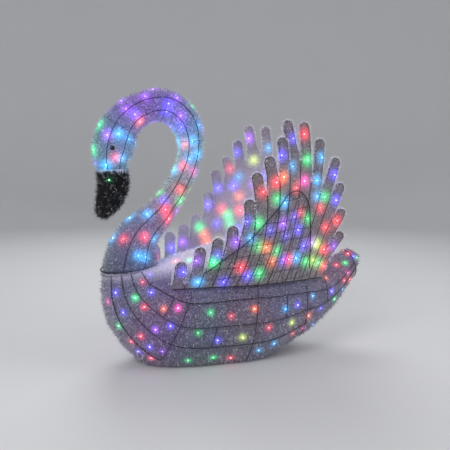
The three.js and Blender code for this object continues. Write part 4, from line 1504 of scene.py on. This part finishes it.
def make_bulbs(scene):
    """All small lights"""
    settings = scene.swan_lights
    bulbs = Bulbs(settings)
    mesh = bpy.data.meshes.new("bulb places")
    mesh.from_pydata((bulbs.places * MM).tolist(), [], [])
    facing = mesh.attributes.new("facing", "FLOAT_VECTOR", "POINT")
    facing.data.foreach_set("vector", bulbs.facings.astype(np.float32).ravel())
    set_point_value(mesh, "length", bulbs.lengths)
    set_point_value(mesh, "power", bulbs.powers)
    colours = np.column_stack([bulbs.colours, np.ones(len(bulbs.colours))]).astype(np.float32)
    mesh.attributes.new("bulb", "FLOAT_COLOR", "POINT").data.foreach_set("color", colours.ravel())
    carrier = add_object("bulb places", mesh)
    lights = run_tree("small_lights", carrier, tree_for("Bulbs on points", build_bulb_tree), {
        "Radius": settings.bulb_radius, "Material": bulb_material()})
    bpy.data.objects.remove(carrier)
    finish_piece(lights)


# The stage

CAMERA_PLACE = (-0.736, -2.014, 0.71)
CAMERA_TURN = math.radians(-19)
CAMERA_DOWN = math.radians(6.466)
CAMERA_LENS = 48
FLOOR_RADIUS = 4.2
SWEEP_RADIUS = 1.4
WALL_HEIGHT = 3.4
# Lamps: where each stands, its width and its power in watts
LAMPS = [
    ((-2.4, -2.2, 2.6), 1.8, 60),
    ((2.4, -1.6, 2.0), 2.2, 30),
    ((0.4, 2.4, 2.8), 2.0, 45),
]
LAMP_AIM = Vector((0, 0, 0.45))
FLOOR_SIDES = 96
# The floor lies a little below zero, so that it doesn't show through what rests on it
FLOOR_DROP = 0.0006


def make_stage(scene):
    """Pale floor that curves up into a round wall, soft lamps and the camera"""
    bend = np.radians(np.linspace(0, 90, 13))
    profile = [(0.02, 0.0), (1.0, 0.0), (2.5, 0.0)]
    profile += [
        (FLOOR_RADIUS + SWEEP_RADIUS * math.sin(a), SWEEP_RADIUS * (1 - math.cos(a))) for a in bend]
    profile.append((FLOOR_RADIUS + SWEEP_RADIUS, WALL_HEIGHT))
    count = FLOOR_SIDES
    points = [
        (r * math.cos(math.tau * i / count), r * math.sin(math.tau * i / count), z - FLOOR_DROP)
        for r, z in profile for i in range(count)]
    faces = []
    for low in range(0, count * (len(profile) - 1), count):
        for i in range(count):
            j = (i + 1) % count
            faces.append((low + count + i, low + count + j, low + j, low + i))
    faces.append(tuple(range(count)))
    mesh = bpy.data.meshes.new("studio_floor")
    mesh.from_pydata(points, [], faces)
    mesh.polygons.foreach_set("use_smooth", [True] * len(mesh.polygons))
    mesh.materials.append(floor_material())
    add_object("studio_floor", mesh)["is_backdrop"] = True

    for number, (place, width, power) in enumerate(LAMPS):
        lamp = bpy.data.lights.new(f"Soft lamp {number}", "AREA")
        lamp.size = width
        lamp.energy = power
        holder = add_object(lamp.name, lamp)
        holder.location = place
        holder.rotation_euler = (LAMP_AIM - Vector(place)).to_track_quat("-Z", "Y").to_euler()

    world = bpy.data.worlds.new("Soft room light")
    world.use_nodes = True
    background = world.node_tree.nodes["Background"]
    background.inputs["Color"].default_value = (0.86, 0.88, 0.92, 1)
    background.inputs["Strength"].default_value = 0.42
    scene.world = world
    scene.view_settings.view_transform = "Standard"

    camera = bpy.data.cameras.new("Camera")
    camera.lens = CAMERA_LENS
    camera.sensor_width = 36
    camera.clip_end = 50
    holder = add_object("Camera", camera)
    holder.location = CAMERA_PLACE
    holder.rotation_euler = (math.pi / 2 - CAMERA_DOWN, 0, CAMERA_TURN)
    scene.camera = holder


# Operators

class SWAN_OT_body(bpy.types.Operator):
    """Make the body's twine cover and its tufts"""

    bl_idname = "swan.body"
    bl_label = "Body cover"

    def execute(self, context):
        make_body(context.scene)
        return {"FINISHED"}


class SWAN_OT_neck(bpy.types.Operator):
    """Make the neck and head cover and its tufts"""

    bl_idname = "swan.neck"
    bl_label = "Neck and head cover"

    def execute(self, context):
        make_neck(context.scene)
        return {"FINISHED"}


class SWAN_OT_wings(bpy.types.Operator):
    """Make both wings' covers, their tufts and the fringe round their feathers"""

    bl_idname = "swan.wings"
    bl_label = "Wings"

    def execute(self, context):
        for side_name in SIDES:
            make_wing(context.scene, side_name)
        return {"FINISHED"}


class SWAN_OT_wires(bpy.types.Operator):
    """Make the frame wires of the body, the neck and the wings"""

    bl_idname = "swan.wires"
    bl_label = "Frame wires"

    def execute(self, context):
        make_body_wires(context.scene)
        make_neck_wires(context.scene)
        for side_name in SIDES:
            make_wing_wires(context.scene, side_name)
        return {"FINISHED"}


class SWAN_OT_beak(bpy.types.Operator):
    """Make the black tinsel beak"""

    bl_idname = "swan.beak"
    bl_label = "Beak"

    def execute(self, context):
        make_beak(context.scene)
        return {"FINISHED"}


class SWAN_OT_eyes(bpy.types.Operator):
    """Make the two eyes"""

    bl_idname = "swan.eyes"
    bl_label = "Eyes"

    def execute(self, context):
        make_eyes(context.scene)
        return {"FINISHED"}


class SWAN_OT_lights(bpy.types.Operator):
    """Make the small coloured lights"""

    bl_idname = "swan.lights"
    bl_label = "Small lights"

    def execute(self, context):
        make_bulbs(context.scene)
        return {"FINISHED"}


class SWAN_OT_stage(bpy.types.Operator):
    """Make the floor, the lamps and the camera"""

    bl_idname = "swan.stage"
    bl_label = "Stage"

    def execute(self, context):
        make_stage(context.scene)
        return {"FINISHED"}


OPERATORS = (
    SWAN_OT_body, SWAN_OT_neck, SWAN_OT_wings, SWAN_OT_wires, SWAN_OT_beak, SWAN_OT_eyes, SWAN_OT_lights,
    SWAN_OT_stage,
)
SETTINGS = {"swan_sizes": SwanSizes, "swan_lights": SwanLights, "swan_colours": SwanColours}


class SWAN_PT_panel(bpy.types.Panel):
    """The figure's settings and its pieces"""

    bl_idname = "SWAN_PT_panel"
    bl_label = "Swan figure"
    bl_space_type = "VIEW_3D"
    bl_region_type = "UI"
    bl_category = "Swan"

    def draw(self, context):
        for name, group in SETTINGS.items():
            for field in group.__annotations__:
                self.layout.prop(getattr(context.scene, name), field)
        for operator in OPERATORS:
            self.layout.operator(operator.bl_idname)


CLASSES = (*SETTINGS.values(), *OPERATORS, SWAN_PT_panel)


def register():
    for item in CLASSES:
        bpy.utils.register_class(item)
    for name, group in SETTINGS.items():
        setattr(bpy.types.Scene, name, bpy.props.PointerProperty(type=group))


def unregister():
    for name in SETTINGS:
        delattr(bpy.types.Scene, name)
    for item in reversed(CLASSES):
        bpy.utils.unregister_class(item)


def main():
    """Makes every piece in order"""
    register()
    bpy.ops.swan.body()
    bpy.ops.swan.neck()
    bpy.ops.swan.wings()
    bpy.ops.swan.wires()
    bpy.ops.swan.beak()
    bpy.ops.swan.eyes()
    bpy.ops.swan.lights()
    bpy.ops.swan.stage()
    boxes = {"cad": CAD_BOX, "visual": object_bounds()}
    {name: [list(corner) for corner in box] for name, box in boxes.items()}


if __name__ == "__main__":
    main()
